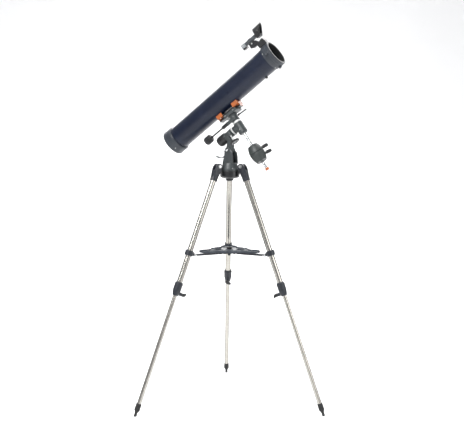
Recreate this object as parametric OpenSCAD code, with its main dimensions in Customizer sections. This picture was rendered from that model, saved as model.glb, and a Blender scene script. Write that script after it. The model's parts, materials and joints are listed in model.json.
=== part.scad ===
// Newtonian reflector telescope on an equatorial mount and a three-legged field tripod.
// Origin: on the floor, under the mount's azimuth axis. +Z up. One leg points along +Y.

/* [Tripod] */
// Height of the leg hinges above the floor
hinge_z = 1072; // [1060:1:1090]
// Distance of the leg hinges from the azimuth axis
hinge_r = 62; // [61:0.5:64]
// Distance of the foot tips from the azimuth axis
foot_r = 471; // [460:1:485]
// Outside diameter of the upper leg tubes
upper_leg_d = 26; // [25:0.5:27]
// Outside diameter of the lower leg tubes
lower_leg_d = 19; // [18:0.5:20]
// Distance from leg hinge to the top of the leg lock, along the leg
lock_top_s = 541; // [530:1:550]
// Distance from leg hinge to the brace clamp, along the leg
clamp_s = 407; // [400:1:410]
// Largest radius of the accessory tray
tray_r = 152; // [148:1:155]

/* [Mount] */
// Direction of the polar axis on the floor plan, in degrees from +X
azimuth = -30; // [-60:1:0]
// Tilt of the polar axis above the horizontal, in degrees
latitude = 36.5; // [30:0.5:44]
// Height of the latitude pivot above the floor
pivot_z = 1143; // [1140:1:1150]
// Diameter of the declination housing
dec_d = 40; // [38:0.5:41]
// Diameter of the counterweight shaft
shaft_d = 12; // [11:0.5:13]
// Largest diameter of the counterweights
weight_d = 68; // [60:1:72]

/* [Optical tube] */
// Length of the optical tube
tube_len = 660; // [650:1:670]
// Outside diameter of the tube
tube_d = 109; // [107:0.5:111]
// Wall thickness of the tube
tube_wall = 1.5; // [1:0.1:2]
// Distance from the polar axis to the tube's axis
tube_h = 147.5; // [146:0.5:150]
// Diameter of the primary mirror
mirror_d = 76; // [70:1:80]
// Distance from the front rim to the focuser's axis
focuser_s = 117; // [115:1:119]
// Angle of the focuser round the tube, in degrees from the top
focuser_turn = 70; // [66:1:74]
// Angle of the finder round the tube, in degrees from the top
finder_turn = -12; // [-16:1:-8]

/* [Hidden] */
$fn = 64;
hull_fn = 32;

// Fits
run = 0.05;
gap = 0.3;
eps = 0.01;

// Colours
paint_grey = "#5f6564";
plastic_black = "#1b1c1f";
plastic_blue_black = "#2b323c";
steel = "#c9c6bd";
chrome = "#dfe2e4";
tube_navy = "#262c44";
orange = "#c4661f";
dial_silver = "#e4e5e2";

// Tripod
// from the azimuth axis back to the middle of the box around the three feet
stance_y = foot_r / 4;
splay = atan2(foot_r - hinge_r, hinge_z);
foot_s = norm([foot_r - hinge_r, hinge_z]);
leg_angles = [-150, -30, 90];
hinge_bolt_r = 4;
lug_t = 14;
bracket_w = 34;
bracket_len = 68;
leg_socket_s = 30;
leg_wall = 1.2;
lock_len = 62;
lock_r = 18.5;
upper_leg_end_s = lock_top_s + 34;
lower_leg_top_s = 470;
foot_len = 46;
clamp_h = 24;
clamp_r = 18.5;
arm_pivot_off = 25;
arm_pin_r = 3;
arm_w = 14;
arm_t = 6;
arm_pivot_r = hinge_r + clamp_s * sin(splay) - arm_pivot_off * cos(splay);
arm_pivot_z = hinge_z - clamp_s * cos(splay) - arm_pivot_off * sin(splay);
hub_pivot_r = 30;
tray_z = arm_pivot_z + 7;
tray_t = 3;
tray_rim = 9;
eyepiece_hole_r = 16;
eyepiece_hole_at = 62;

// Head and azimuth base
head_top_z = 1052;
head_r = 44;
skirt_r = 42.5;
base_bore_r = 8;
cheek_in = 17;
cheek_out = 27;
cheek_r = 14;
pivot_bolt_r = 4;

// Polar frame: x along the polar axis, z along the declination axis, origin where they cross
axes_n = 48;
axes_z = 109;
pivot_x = -axes_n * cos(latitude) - axes_z * sin(latitude);
pivot_e = axes_n * sin(latitude) - axes_z * cos(latitude);
cap_x0 = -129;
cap_x1 = -85;
cap_r = 24;
polar_x1 = -38;
polar_r = 19;
ra_shaft_r = 8;
dec_z0 = -38;
dec_z1 = 17;
dial_z1 = 26;
head_z1 = 61;
dec_shaft_r = 7;
dec_worm_y = -24;
dec_worm_z = 36;
ra_worm_x = -51;
ra_worm_y = -22;
saddle_z1 = 75;
bar_z1 = 87;
bar_len = 126;
weight_top = -110;
weight_len = 40.9;
shaft_end = -236;
weight_knob_turn = 38;
weight_knob_h = 15;
seam_z = weight_top - weight_len - 0.1;
tube_r = tube_d / 2;
stalk_off = 18;

// Tube frame: x along the tube from its middle to the front, z away from the mount
ring_x0 = tube_len / 2 - 42;
focuser_x = tube_len / 2 - focuser_s;
ring_r = 59;
cell_r = 61;
base_top = 67;
barrel_top = 108;
pinion_x = -25;
pinion_z = 88;
finder_pivot = [-60, 0, 98];

// Places a shape at a leg's hinge, with +z up the leg and -x towards the tripod's middle
module leg_frame(angle) {
    rotate([0, 0, angle]) translate([hinge_r, 0, hinge_z]) rotate([0, -splay, 0]) children();
}

// Places a shape in the polar frame
module polar_frame() {
    translate([0, 0, pivot_z]) rotate([0, 0, azimuth]) translate([axes_n, 0, axes_z])
        rotate([0, -latitude, 0]) children();
}

// Places a shape in the tube's frame: x along the tube to the front, z away from the mount
module tube_frame() {
    polar_frame() translate([0, 0, tube_h]) children();
}

// A cylinder along x from x0 to x1
module rod_x(r, x0, x1) {
    translate([x0, 0, 0]) rotate([0, 90, 0]) cylinder(r = r, h = x1 - x0);
}

// A cylinder along y from y0 to y1
module rod_y(r, y0, y1) {
    translate([0, y0, 0]) rotate([-90, 0, 0]) cylinder(r = r, h = y1 - y0);
}

// A fluted round grip along +z, with a domed end
module fluted_knob(r, h, flutes) {
    flute_r = r * 0.16;
    difference() {
        rotate_extrude() polygon([[0, 0], [r * 0.8, 0], [r, h * 0.15], [r, h * 0.85], [r * 0.8, h], [0, h]]);
        for (i = [0:flutes - 1]) rotate([0, 0, i * 360 / flutes]) translate([r * 1.05, 0, -eps])
            cylinder(r = flute_r, h = h + 2 * eps, $fn = 16);
    }
}

// ---------- Tripod ----------

// Hub between the legs, with a forked space for each bracket's hinge
module tripod_head() {
    lug_r = 11;
    lug_root = 36;
    color(paint_grey) difference() {
        union() {
            translate([0, 0, head_top_z - 26]) cylinder(r = head_r, h = 26);
            translate([0, 0, head_top_z - 34]) cylinder(r1 = head_r - 12, r2 = head_r, h = 8 + eps);
            for (a = leg_angles) rotate([0, 0, a]) {
                translate([hinge_r, 0, hinge_z]) rod_y(lug_r, -lug_t / 2, lug_t / 2);
                rotate([90, 0, 0]) translate([0, 0, -lug_t / 2]) linear_extrude(lug_t) polygon([
                    [lug_root, head_top_z - 26], [head_r + 2, head_top_z - 18],
                    [hinge_r - 2, hinge_z - lug_r - 4], [hinge_r + lug_r, hinge_z],
                    [hinge_r - lug_r, hinge_z], [head_r + 1, head_top_z], [lug_root, head_top_z]
                ]);
            }
        }
        translate([0, 0, head_top_z - 40]) cylinder(r = base_bore_r + 0.2, h = 50);
        translate([0, 0, head_top_z - 40]) cylinder(r = 26, h = 22);
        for (a = leg_angles) rotate([0, 0, a]) translate([hinge_r, 0, hinge_z])
            rod_y(hinge_bolt_r + run, -lug_t, lug_t);
    }
}

// Bolt with a hand knob that clamps the mount to the head from below
module azimuth_bolt() {
    knob_z = head_top_z - 44;
    color(plastic_black) translate([0, 0, knob_z]) {
        translate([0, 0, 16]) cylinder(r = 10, h = 10 - gap);
        fluted_knob(17, 18, 12);
    }
    color(chrome) translate([0, 0, knob_z + 20]) cylinder(r = base_bore_r, h = 44);
}

// Hexagon bolts through the head's lugs, each with its nut
module leg_hinge_bolts() {
    reach = bracket_w / 2 + gap;
    color(chrome) for (a = leg_angles) rotate([0, 0, a]) translate([hinge_r, 0, hinge_z]) {
        rod_y(hinge_bolt_r, -reach - 1, reach + 1);
        for (side = [-1, 1]) rotate([90 * side, 0, 0]) translate([0, 0, reach]) {
            cylinder(r = 8, h = 1.2);
            cylinder(r = 6.6, h = 6, $fn = 6);
        }
    }
}

// Moulded bracket that straddles a lug and grips the upper leg tube
module leg_bracket(angle) {
    slot_w = lug_t + 0.4;
    tube_top = -leg_socket_s + 1;
    color(plastic_blue_black) leg_frame(angle) difference() {
        union() {
            rod_y(13.5, -bracket_w / 2, bracket_w / 2);
            hull() {
                translate([-13.5, -bracket_w / 2, -18]) cube([29, bracket_w, 16]);
                translate([0, 0, -bracket_len + 14]) cylinder(r = 16.8, h = 2, $fn = hull_fn);
            }
            translate([0, 0, -bracket_len]) cylinder(r = 16.8, h = 16);
            for (side = [-1, 1]) translate([-3, side * (bracket_w / 2 - 1) - 2, -bracket_len + 12])
                cube([6, 4, bracket_len - 24]);
        }
        translate([-20, -slot_w / 2, -21]) cube([50, slot_w, 50]);
        rod_y(hinge_bolt_r + run, -bracket_w, bracket_w);
        translate([0, 0, -bracket_len - eps]) cylinder(r = upper_leg_d / 2 + run, h = bracket_len + tube_top + eps);
    }
}

// Polished steel upper leg tube
module upper_leg(angle) {
    len = upper_leg_end_s - leg_socket_s;
    color(steel) leg_frame(angle) translate([0, 0, -upper_leg_end_s]) difference() {
        cylinder(r = upper_leg_d / 2, h = len);
        translate([0, 0, -1]) cylinder(r = upper_leg_d / 2 - leg_wall, h = len + 2);
    }
}

// Ring on the upper leg with two ears that carry the brace arm's trunnions
module brace_clamp(angle) {
    ear_gap = arm_w + 0.6;
    ear_t = 5;
    color(plastic_blue_black) leg_frame(angle) translate([0, 0, -clamp_s]) difference() {
        union() {
            translate([0, 0, -clamp_h / 2]) cylinder(r = clamp_r, h = clamp_h);
            for (side = [-1, 1]) translate([0, side * (ear_gap + ear_t) / 2, 0]) {
                translate([-arm_pivot_off, 0, 0]) rod_y(7, -ear_t / 2, ear_t / 2);
                translate([-arm_pivot_off, -ear_t / 2, -7]) cube([arm_pivot_off, ear_t, 14]);
            }
        }
        translate([0, 0, -clamp_h]) cylinder(r = upper_leg_d / 2 + run, h = 2 * clamp_h);
        translate([-arm_pivot_off, 0, 0]) rod_y(arm_pin_r + run, -clamp_r, clamp_r);
    }
}

// Lock sleeve: grips the upper tube, guides the lower one and carries the lock screw
module leg_lock(angle) {
    screw_z = -lock_top_s - lock_len + 12;
    color(plastic_blue_black) leg_frame(angle) difference() {
        union() {
            translate([0, 0, -lock_top_s - 6]) cylinder(r1 = lock_r, r2 = upper_leg_d / 2 + 2, h = 6);
            translate([0, 0, -lock_top_s - lock_len + 24]) cylinder(r = lock_r, h = lock_len - 30 + eps);
            translate([0, 0, -lock_top_s - lock_len]) cylinder(r1 = 13.5, r2 = lock_r, h = 24 + eps);
            translate([0, 0, screw_z]) rod_x(8.5, -27, 0);
        }
        translate([0, 0, -upper_leg_end_s - 0.2]) cylinder(r = upper_leg_d / 2 + run, h = upper_leg_end_s);
        translate([0, 0, -lock_top_s - lock_len - 1]) cylinder(r = lower_leg_d / 2 + run, h = lock_len);
        translate([0, 0, screw_z]) rod_x(3 + run, -30, 0);
    }
}

// Winged screw that clamps the lower leg
module lock_knob(angle) {
    wing_x = -46;
    color(plastic_black) leg_frame(angle) translate([0, 0, -lock_top_s - lock_len + 12]) {
        rod_x(3, wing_x + 4, -lower_leg_d / 2 - 0.4);
        rod_x(8, wing_x + 4, -27 - gap);
        hull() for (side = [-1, 1]) translate([0, side * 11, side * 5])
            rotate([0, 90, 0]) translate([0, 0, wing_x]) cylinder(r = 4.5, h = 8, $fn = hull_fn);
    }
}

// Polished steel lower leg tube, which slides inside the upper one
module lower_leg(angle) {
    end_s = foot_s - foot_len + 2;
    color(steel) leg_frame(angle) translate([0, 0, -end_s]) difference() {
        cylinder(r = lower_leg_d / 2, h = end_s - lower_leg_top_s);
        translate([0, 0, -1]) cylinder(r = lower_leg_d / 2 - leg_wall, h = end_s - lower_leg_top_s + 2);
    }
}

// Rubber foot: a plug in the tube, a cone and a spike with a flat tip on the floor
module foot(angle) {
    collar_r = lower_leg_d / 2 + 2.5;
    color(plastic_black) intersection() {
        leg_frame(angle) translate([0, 0, -foot_s]) difference() {
            translate([0, 0, -12]) rotate_extrude() polygon([
                [0, 0], [6, 0], [6, 26], [9, 34], [collar_r, 38], [collar_r, 66], [collar_r - 1.5, 68], [0, 68]
            ]);
            translate([0, 0, foot_len - 2.2]) difference() {
                cylinder(r = lower_leg_d / 2 + run, h = 40);
                translate([0, 0, -1]) cylinder(r = lower_leg_d / 2 - leg_wall - run, h = 42);
            }
        }
        translate([-foot_r * 2, -foot_r * 2, 0]) cube([foot_r * 4, foot_r * 4, 200]);
    }
}

// Arm between a clamp's ears and the brace hub, with moulded trunnions and an open inner eye
module brace_arm(angle) {
    eye_r = 6.5;
    color(plastic_blue_black) rotate([0, 0, angle]) translate([0, 0, arm_pivot_z]) difference() {
        union() {
            translate([arm_pivot_r, 0, 0]) {
                rod_y(arm_w / 2 - 1, -arm_w / 2, arm_w / 2);
                rod_y(arm_pin_r, -arm_w / 2 - 5, arm_w / 2 + 5);
            }
            translate([hub_pivot_r, 0, 0]) rod_y(eye_r, -arm_w / 2, arm_w / 2);
            translate([hub_pivot_r, -arm_w / 2, -arm_t / 2]) cube([arm_pivot_r - hub_pivot_r, arm_w, arm_t]);
            translate([hub_pivot_r + 8, -2, -7]) cube([arm_pivot_r - hub_pivot_r - 24, 4, 7]);
        }
        translate([hub_pivot_r, 0, 0]) rod_y(arm_pin_r + 1.8, -arm_w, arm_w);
    }
}

// Spreader hub under the tray: a disc with three forks that carry the arms' inner pins
module brace_hub() {
    fork_gap = arm_w + 0.8;
    fork_t = 4;
    color(plastic_blue_black) translate([0, 0, arm_pivot_z]) {
        translate([0, 0, -5]) cylinder(r = 22, h = 10.5);
        for (a = leg_angles) rotate([0, 0, a]) {
            for (side = [-1, 1]) translate([0, side * (fork_gap + fork_t) / 2, 0]) {
                translate([hub_pivot_r, 0, 0]) rod_y(6, -fork_t / 2, fork_t / 2);
                translate([14, -fork_t / 2, -4]) cube([hub_pivot_r - 14, fork_t, 8]);
            }
            translate([hub_pivot_r, 0, 0]) rod_y(arm_pin_r, -fork_gap / 2 - 1, fork_gap / 2 + 1);
        }
        translate([0, 0, -14]) cylinder(r = 7, h = 10);
    }
}

// Plan outline of the tray: a disc with three rounded lobes, blended by the outline's own offset
module tray_outline(inset = 0) {
    lobe_r = 38;
    offset(delta = -inset) offset(r = -22, $fn = hull_fn) offset(delta = 22) {
        circle(r = 88);
        for (a = leg_angles) rotate(a) translate([tray_r - lobe_r, 0]) circle(r = lobe_r);
    }
}

// Accessory tray with a rim, three eyepiece holes and a screw boss
module accessory_tray() {
    rim_w = 3;
    hole_angles = [for (a = leg_angles) a + 60];
    color(plastic_blue_black) translate([0, 0, tray_z]) difference() {
        union() {
            linear_extrude(tray_t) tray_outline();
            linear_extrude(tray_rim) difference() {
                tray_outline();
                tray_outline(rim_w);
            }
            for (a = hole_angles) rotate([0, 0, a]) translate([eyepiece_hole_at, 0, 0])
                cylinder(r = eyepiece_hole_r + 3, h = 7);
            cylinder(r = 14, h = 8);
        }
        for (a = hole_angles) rotate([0, 0, a]) translate([eyepiece_hole_at, 0, -1])
            cylinder(r = eyepiece_hole_r, h = 10);
    }
}

// ---------- Equatorial mount ----------

// Turning base: a flared skirt with two cheeks that hold the latitude pivot
module azimuth_base() {
    skirt_z = head_top_z + gap;
    deck_z = 1088;
    bridge_x = -24;
    screw_z = pivot_z - 30;
    color(paint_grey) rotate([0, 0, azimuth]) difference() {
        union() {
            rotate_extrude() polygon([
                [0, skirt_z], [skirt_r, skirt_z], [skirt_r, skirt_z + 9], [skirt_r - 3, skirt_z + 14],
                [31, deck_z], [0, deck_z]
            ]);
            for (side = [-1, 1]) translate([0, side * (cheek_in + cheek_out) / 2, 0]) {
                translate([0, 0, pivot_z]) rod_y(cheek_r, (cheek_in - cheek_out) / 2, (cheek_out - cheek_in) / 2);
                rotate([90, 0, 0]) linear_extrude(cheek_out - cheek_in, center = true) polygon([
                    [-25, deck_z - 4], [-16, deck_z + 30], [-cheek_r, pivot_z], [cheek_r, pivot_z],
                    [23, pivot_z - 8], [26, deck_z + 26], [28, deck_z - 4]
                ]);
            }
            translate([bridge_x, -cheek_in - 1, deck_z - 4]) cube([9, 2 * cheek_in + 2, screw_z - deck_z + 12]);
        }
        translate([0, 0, skirt_z - 1]) cylinder(r = base_bore_r + run, h = 24);
        translate([0, 0, pivot_z]) rod_y(pivot_bolt_r + run, -cheek_out - 5, cheek_out + 5);
        translate([0, 0, screw_z]) rod_x(3 + run, bridge_x - 10, bridge_x + 20);
    }
}

// Pivot bolt of the latitude axis, with its cap and T-lever
module latitude_lock() {
    cap_y = -cheek_out - gap;
    color(chrome) translate([0, 0, pivot_z]) rotate([0, 0, azimuth]) {
        rod_y(pivot_bolt_r, cap_y - 10, cheek_out + 1);
        translate([0, cap_y, 0]) rotate([90, 0, 0]) rotate_extrude() polygon([
            [0, 0], [7, 0], [7, 5], [6.2, 9], [4, 12], [3, 14], [3, 22], [0, 22]
        ]);
        translate([0, cheek_out + gap, 0]) rotate([-90, 0, 0]) cylinder(r = 7, h = 6, $fn = 6);
        translate([0, cap_y - 19, 0]) rotate([0, -25, 0]) rod_x(2, -26, 14);
    }
}

// T-bolt that pushes the polar housing's tail to set the latitude
module latitude_screw() {
    color(chrome) translate([0, 0, pivot_z - 30]) rotate([0, 0, azimuth]) {
        rod_x(3, -66, -8);
        translate([-64, 0, 0]) rotate([70, 0, 0]) cylinder(r = 2, h = 34, center = true);
    }
}

// Tilting housing of the polar axis: barrel, tongue with a tail, and the worm's boss
module polar_housing() {
    tongue_r = 13;
    tail = 30;
    tongue_w = 2 * cheek_in - 0.4;
    neck_len = 21;
    boss_z0 = -14;
    color(paint_grey) polar_frame() difference() {
        union() {
            rod_x(polar_r, cap_x1 + gap, polar_x1);
            rod_x(cap_r - 1, cap_x1 + gap, cap_x1 + 7);
            translate([0, tongue_w / 2, 0]) rotate([90, 0, 0]) linear_extrude(tongue_w) hull() {
                translate([pivot_x, pivot_e]) circle(r = tongue_r);
                translate([cap_x1 + 1, -27]) square([neck_len, 3]);
            }
            translate([cap_x1 + 1, -tongue_w / 2, -26]) cube([neck_len, tongue_w, 26]);
            translate([pivot_x, 0, pivot_e]) rotate([0, latitude, 0])
                translate([-6, -7, -tail - 6]) cube([12, 14, tail + 6]);
            translate([ra_worm_x, ra_worm_y, boss_z0]) cylinder(r = 9, h = 20);
            translate([ra_worm_x - 9, ra_worm_y, -12]) cube([18, -ra_worm_y, 18]);
        }
        rod_x(ra_shaft_r + run, cap_x1 - 5, polar_x1 + 5);
        translate([pivot_x, 0, pivot_e]) rod_y(pivot_bolt_r + run, -cheek_out, cheek_out);
        translate([ra_worm_x, ra_worm_y, boss_z0 - 1]) cylinder(r = 4 + run, h = 12);
    }
}

// Drum-shaped cap over the lower end of the polar axis
module polar_cap() {
    color(plastic_black) polar_frame() translate([cap_x0, 0, 0]) rotate([0, 90, 0]) rotate_extrude()
        polygon([
            [0, 0], [cap_r - 4, 0], [cap_r - 1.2, 1.4], [cap_r, 5], [cap_r, 44], [cap_r - 2, 44],
            [cap_r - 2, 3], [0, 3]
        ]);
}

// Silver setting circles of the polar and the declination axis
module setting_circles() {
    ring_w = 5.5;
    color(dial_silver) polar_frame() {
        difference() {
            rod_x(22.5, polar_x1 + 0.5, polar_x1 + 0.5 + ring_w);
            rod_x(17 + run, polar_x1 - 1, polar_x1 + ring_w + 2);
        }
        translate([0, 0, dec_z1 + 0.2]) difference() {
            cylinder(r = 19.5, h = dial_z1 - dec_z1 - 0.4);
            translate([0, 0, -1]) cylinder(r = 16 + run, h = 20);
        }
    }
}

// Thumb wheel on the polar axis worm
module ra_slow_motion() {
    color(plastic_black) polar_frame() translate([ra_worm_x, ra_worm_y, 0]) {
        translate([0, 0, -53]) fluted_knob(23, 10, 20);
        translate([0, 0, -44]) cylinder(r = 8, h = 3.7);
    }
    color(chrome) polar_frame() translate([ra_worm_x, ra_worm_y, -48]) cylinder(r = 4, h = 44);
}

// Housing of the declination axis, in one casting with the polar shaft
module dec_housing() {
    color(paint_grey) polar_frame() difference() {
        union() {
            translate([0, 0, dec_z0]) rotate_extrude() polygon([
                [0, 0], [dec_d / 2 - 2, 0], [dec_d / 2, 2], [dec_d / 2, dec_z1 - dec_z0], [0, dec_z1 - dec_z0]
            ]);
            translate([0, 0, dec_z1 - 1]) cylinder(r = 16, h = dial_z1 - dec_z1 + 1 - gap);
            rod_x(17, polar_x1 + 0.4, 0);
            rod_x(ra_shaft_r, cap_x1 + 2, 0);
        }
        translate([0, 0, -16]) cylinder(r = dec_shaft_r + run, h = 60);
        translate([0, 0, dec_z0 - 1]) cylinder(r = shaft_d / 2 + run, h = 15);
    }
}

// Upper declination head, which carries the saddle, the worm and the shaft
module dec_head() {
    worm_x0 = -30;
    color(paint_grey) polar_frame() difference() {
        union() {
            translate([0, 0, dial_z1]) rotate_extrude() polygon([
                [0, 0], [18.5, 0], [18.5, 26], [21, head_z1 - dial_z1], [0, head_z1 - dial_z1]
            ]);
            translate([0, 0, -14]) cylinder(r = dec_shaft_r, h = 60);
            translate([0, dec_worm_y, dec_worm_z]) rod_x(8, worm_x0, 12);
            translate([-12, dec_worm_y, dec_worm_z - 7]) cube([24, -dec_worm_y, 14]);
        }
        translate([0, dec_worm_y, dec_worm_z]) rod_x(3 + run, worm_x0 - 5, 8);
        translate([0, 0, 44]) rod_x(3 + run, 8, 30);
    }
}

// Lever that clamps the declination axis
module dec_lock_lever() {
    color(plastic_black) polar_frame() translate([0, 0, 44]) {
        rod_x(3, 9, 26);
        translate([22, 0, 0]) rotate([0, 4, 0]) {
            rod_x(4.5, 0, 8);
            rod_x(2.6, 6, 50);
        }
    }
    color(dial_silver) polar_frame() translate([22, 0, 44]) rotate([0, 4, 0]) rod_x(4, 50, 56);
}

// Slow-motion control of the declination axis: worm shaft, ferrule, flexible rod and knob
module dec_slow_motion() {
    knob_x = -170;
    knob_len = 37;
    color(plastic_black) polar_frame() translate([0, dec_worm_y, dec_worm_z]) {
        rod_x(8, -66, -32);
        rod_x(2.8, knob_x + knob_len - 2, -60);
        translate([knob_x + knob_len, 0, 0]) rotate([0, -90, 0]) fluted_knob(19, knob_len, 16);
    }
    color(chrome) polar_frame() translate([0, dec_worm_y, dec_worm_z]) rod_x(3, -40, 6);
}

// Dovetail saddle plate on the declination head
module saddle() {
    plate_z1 = head_z1 + 5;
    color(paint_grey) polar_frame() {
        translate([4, 0, head_z1 + eps]) intersection() {
            translate([-42, -26, 0]) cube([84, 52, plate_z1 - head_z1]);
            cylinder(r = 46, h = plate_z1 - head_z1);
        }
        for (side = [0, 1]) mirror([0, side, 0]) translate([-32, 0, 0]) rotate([90, 0, 90])
            linear_extrude(72) polygon([
                [16, plate_z1 - 1], [26, plate_z1 - 1], [26, saddle_z1], [12.9, saddle_z1], [16, plate_z1]
            ]);
    }
}

// Stainless shaft for the counterweights
module counterweight_shaft() {
    color(chrome) polar_frame() translate([0, 0, shaft_end + 4]) cylinder(r = shaft_d / 2, h = -shaft_end - 28);
}

// One counterweight as a solid of revolution, widest at its wide end, which is at z = 0
module counterweight() {
    wide = weight_d / 2;
    narrow = weight_d / 2 - 11;
    round_steps = 8;
    flank = [for (i = [0:round_steps]) let (t = i / round_steps) [narrow + (wide - narrow) * cos(90 * t * 0.93), weight_len * (0.06 + 0.94 * t)]];
    rotate_extrude() polygon(concat([[shaft_d / 2 + run, 0], [wide - 1, 0]], flank,
        [[narrow - 2, weight_len], [shaft_d / 2 + run, weight_len]]));
}

// Places a weight's clamp screw, pointing out along x from the shaft
module at_weight_knob(z) {
    polar_frame() translate([0, 0, z]) rotate([0, 0, weight_knob_turn]) children();
}

module upper_counterweight() {
    color(paint_grey) difference() {
        polar_frame() translate([0, 0, seam_z + 0.1]) counterweight();
        at_weight_knob(seam_z + weight_knob_h) rod_x(4 + run, shaft_d / 2 - 3, weight_d);
    }
}

module lower_counterweight() {
    color(paint_grey) difference() {
        polar_frame() translate([0, 0, seam_z - 0.1]) mirror([0, 0, 1]) counterweight();
        at_weight_knob(seam_z - weight_knob_h) rod_x(4 + run, shaft_d / 2 - 3, weight_d);
    }
}

// Clamp screw of a counterweight
module weight_knob(z) {
    color(plastic_black) at_weight_knob(z) {
        rod_x(4, shaft_d / 2 + 0.4, weight_d / 2 + 4);
        translate([weight_d / 2 + 1, 0, 0]) rotate([0, 90, 0]) fluted_knob(8.2, 28, 10);
    }
}

// Orange stop at the end of the counterweight shaft
module safety_cap() {
    color(orange) polar_frame() translate([0, 0, shaft_end - 4]) difference() {
        rotate_extrude() polygon([[0, 0], [7, 0], [9, 1.5], [9, 9.5], [7.5, 12], [0, 12]]);
        translate([0, 0, 8 - gap]) cylinder(r = shaft_d / 2 + run, h = 10);
    }
}

// ---------- Optical tube ----------

// Orange bar with two curved feet that hold the tube
module dovetail_bar() {
    foot_len_x = 32;
    foot_w = 48;
    bar_z0 = head_z1 + 5.3 - tube_h;
    color(orange) tube_frame() difference() {
        union() {
            translate([-bar_len / 2, 0, 0]) rotate([90, 0, 90]) linear_extrude(bar_len) polygon([
                [-15.5, bar_z0], [15.5, bar_z0], [12.4, saddle_z1 - tube_h], [12.4, bar_z1 - tube_h],
                [-12.4, bar_z1 - tube_h], [-12.4, saddle_z1 - tube_h]
            ]);
            for (side = [-1, 1]) translate([side * (bar_len / 2 - foot_len_x / 2), 0, 0])
                translate([-foot_len_x / 2, -foot_w / 2, bar_z1 - tube_h - 7]) cube([foot_len_x, foot_w, 21]);
        }
        rod_x(tube_r + run, -tube_len, tube_len);
    }
}

// Places a shape on the focuser's axis, with +z away from the tube
module focuser_frame() {
    tube_frame() translate([focuser_x, 0, 0]) rotate([-focuser_turn, 0, 0]) children();
}

// Painted tube with the light hole for the focuser
module main_tube() {
    color(tube_navy) difference() {
        tube_frame() difference() {
            rod_x(tube_r, -tube_len / 2 + 6, tube_len / 2 - 6);
            rod_x(tube_r - tube_wall, -tube_len, tube_len);
        }
        focuser_frame() cylinder(r = 19, h = tube_d);
        tube_frame() translate([focuser_x + stalk_off, 0, 0]) rotate([180, 0, 0]) cylinder(r = 3 + run, h = tube_d);
    }
}

// Plastic ring round the open front end, with its thumb screws
module front_ring() {
    front_x = tube_len / 2;
    color("#44484b") tube_frame() difference() {
        union() {
            rod_x(ring_r - 1.6, ring_x0, ring_x0 + 7);
            translate([ring_x0 + 7 - eps, 0, 0]) rotate([0, 90, 0]) cylinder(r1 = ring_r - 1.6, r2 = ring_r, h = 5);
            rod_x(ring_r, ring_x0 + 12 - 2 * eps, front_x - 2);
            translate([front_x - 2 - eps, 0, 0]) rotate([0, 90, 0]) cylinder(r1 = ring_r, r2 = ring_r - 2, h = 2);
        }
        rod_x(tube_r + run, 0, front_x - 5.8);
        rod_x(tube_r - 3, 0, tube_len);
    }
    color(plastic_black) tube_frame() for (a = [90, 180, 270]) rotate([a, 0, 0])
        translate([front_x - 19, 0, ring_r - 1]) cylinder(r = 5, h = 7);
}

// Closed rear cell that holds the primary mirror, with three adjusting screws behind
module rear_cell() {
    back_x = -tube_len / 2;
    color("#44484b") tube_frame() {
        translate([back_x, 0, 0]) rotate([0, 90, 0]) rotate_extrude() polygon([
            [0, 0], [cell_r - 6, 0], [cell_r - 2, 1.6], [cell_r, 5.5], [cell_r, 43], [cell_r - 2, 47],
            [tube_r + run, 47], [tube_r + run, 5.8], [tube_r - 4, 5.8], [tube_r - 4, 4], [0, 4]
        ]);
        rod_x(44, back_x + 3, back_x + 16);
        for (a = [0, 120, 240]) rotate([a, 0, 0]) translate([0, 0, 28]) rod_x(5, back_x - 7, back_x + 1);
    }
}

// Primary mirror: a thick glass disc with a hollow front
module primary_mirror() {
    color(chrome) tube_frame() translate([-tube_len / 2 + 16.2, 0, 0]) difference() {
        rod_x(mirror_d / 2, 0, 11);
        rod_x(mirror_d / 2 - 3, 10.4, 12);
    }
}

// Secondary mirror: a small disc on a slanted holder under the focuser
module secondary_mirror() {
    holder_r = 10.5;
    color(chrome) tube_frame() translate([focuser_x, 0, 0]) rotate([-focuser_turn, 0, 0]) {
        difference() {
            rod_x(holder_r, -12, 13.5);
            rotate([0, -45, 0]) translate([-40, -40, 0]) cube([80, 80, 80]);
        }
    }
}

// Spider: a hub on one stalk through the tube's wall, with the nut outside
module spider() {
    stalk_x = focuser_x + stalk_off;
    color(plastic_black) tube_frame() {
        rod_x(8, stalk_x - 4, stalk_x + 8);
        translate([stalk_x, 0, 0]) rotate([180, 0, 0]) {
            cylinder(r = 3, h = tube_r + 6);
            translate([0, 0, tube_r + run]) cylinder(r = 5, h = 5);
        }
    }
}

// Focuser body: curved base, guide barrel and the block that carries the pinion
module focuser_body() {
    color("#44484b") difference() {
        focuser_frame() difference() {
            union() {
                translate([-30, -26, tube_r - 12]) cube([60, 52, base_top - tube_r + 12]);
                translate([0, 0, base_top - 2]) cylinder(r1 = 26, r2 = 23.5, h = 8);
                translate([0, 0, base_top]) cylinder(r = 23.5, h = barrel_top - base_top);
                translate([pinion_x - 8, -22, base_top - 1]) cube([20, 44, pinion_z - base_top + 10]);
            }
            cylinder(r = 18 + run, h = 200);
            translate([pinion_x, 0, pinion_z]) rod_y(3 + run, -30, 30);
        }
        tube_frame() rod_x(tube_r + run, 0, tube_len);
    }
}

// Sliding drawtube with the eyepiece collar and its set screw
module drawtube() {
    collar_z0 = 138;
    collar_z1 = 152;
    color(chrome) focuser_frame() {
        difference() {
            union() {
                translate([0, 0, 68]) cylinder(r = 18, h = collar_z1 - 68);
                translate([0, 0, collar_z0]) cylinder(r = 21, h = collar_z1 - collar_z0);
                translate([0, 0, collar_z0 + 7]) rotate([0, 0, 60]) rod_x(3, 16.5, 25);
            }
            cylinder(r = 15.875 + run, h = 200);
        }
        translate([0, 0, collar_z0 + 7]) rotate([0, 0, 60]) rod_x(6, 24, 32);
    }
}

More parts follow.
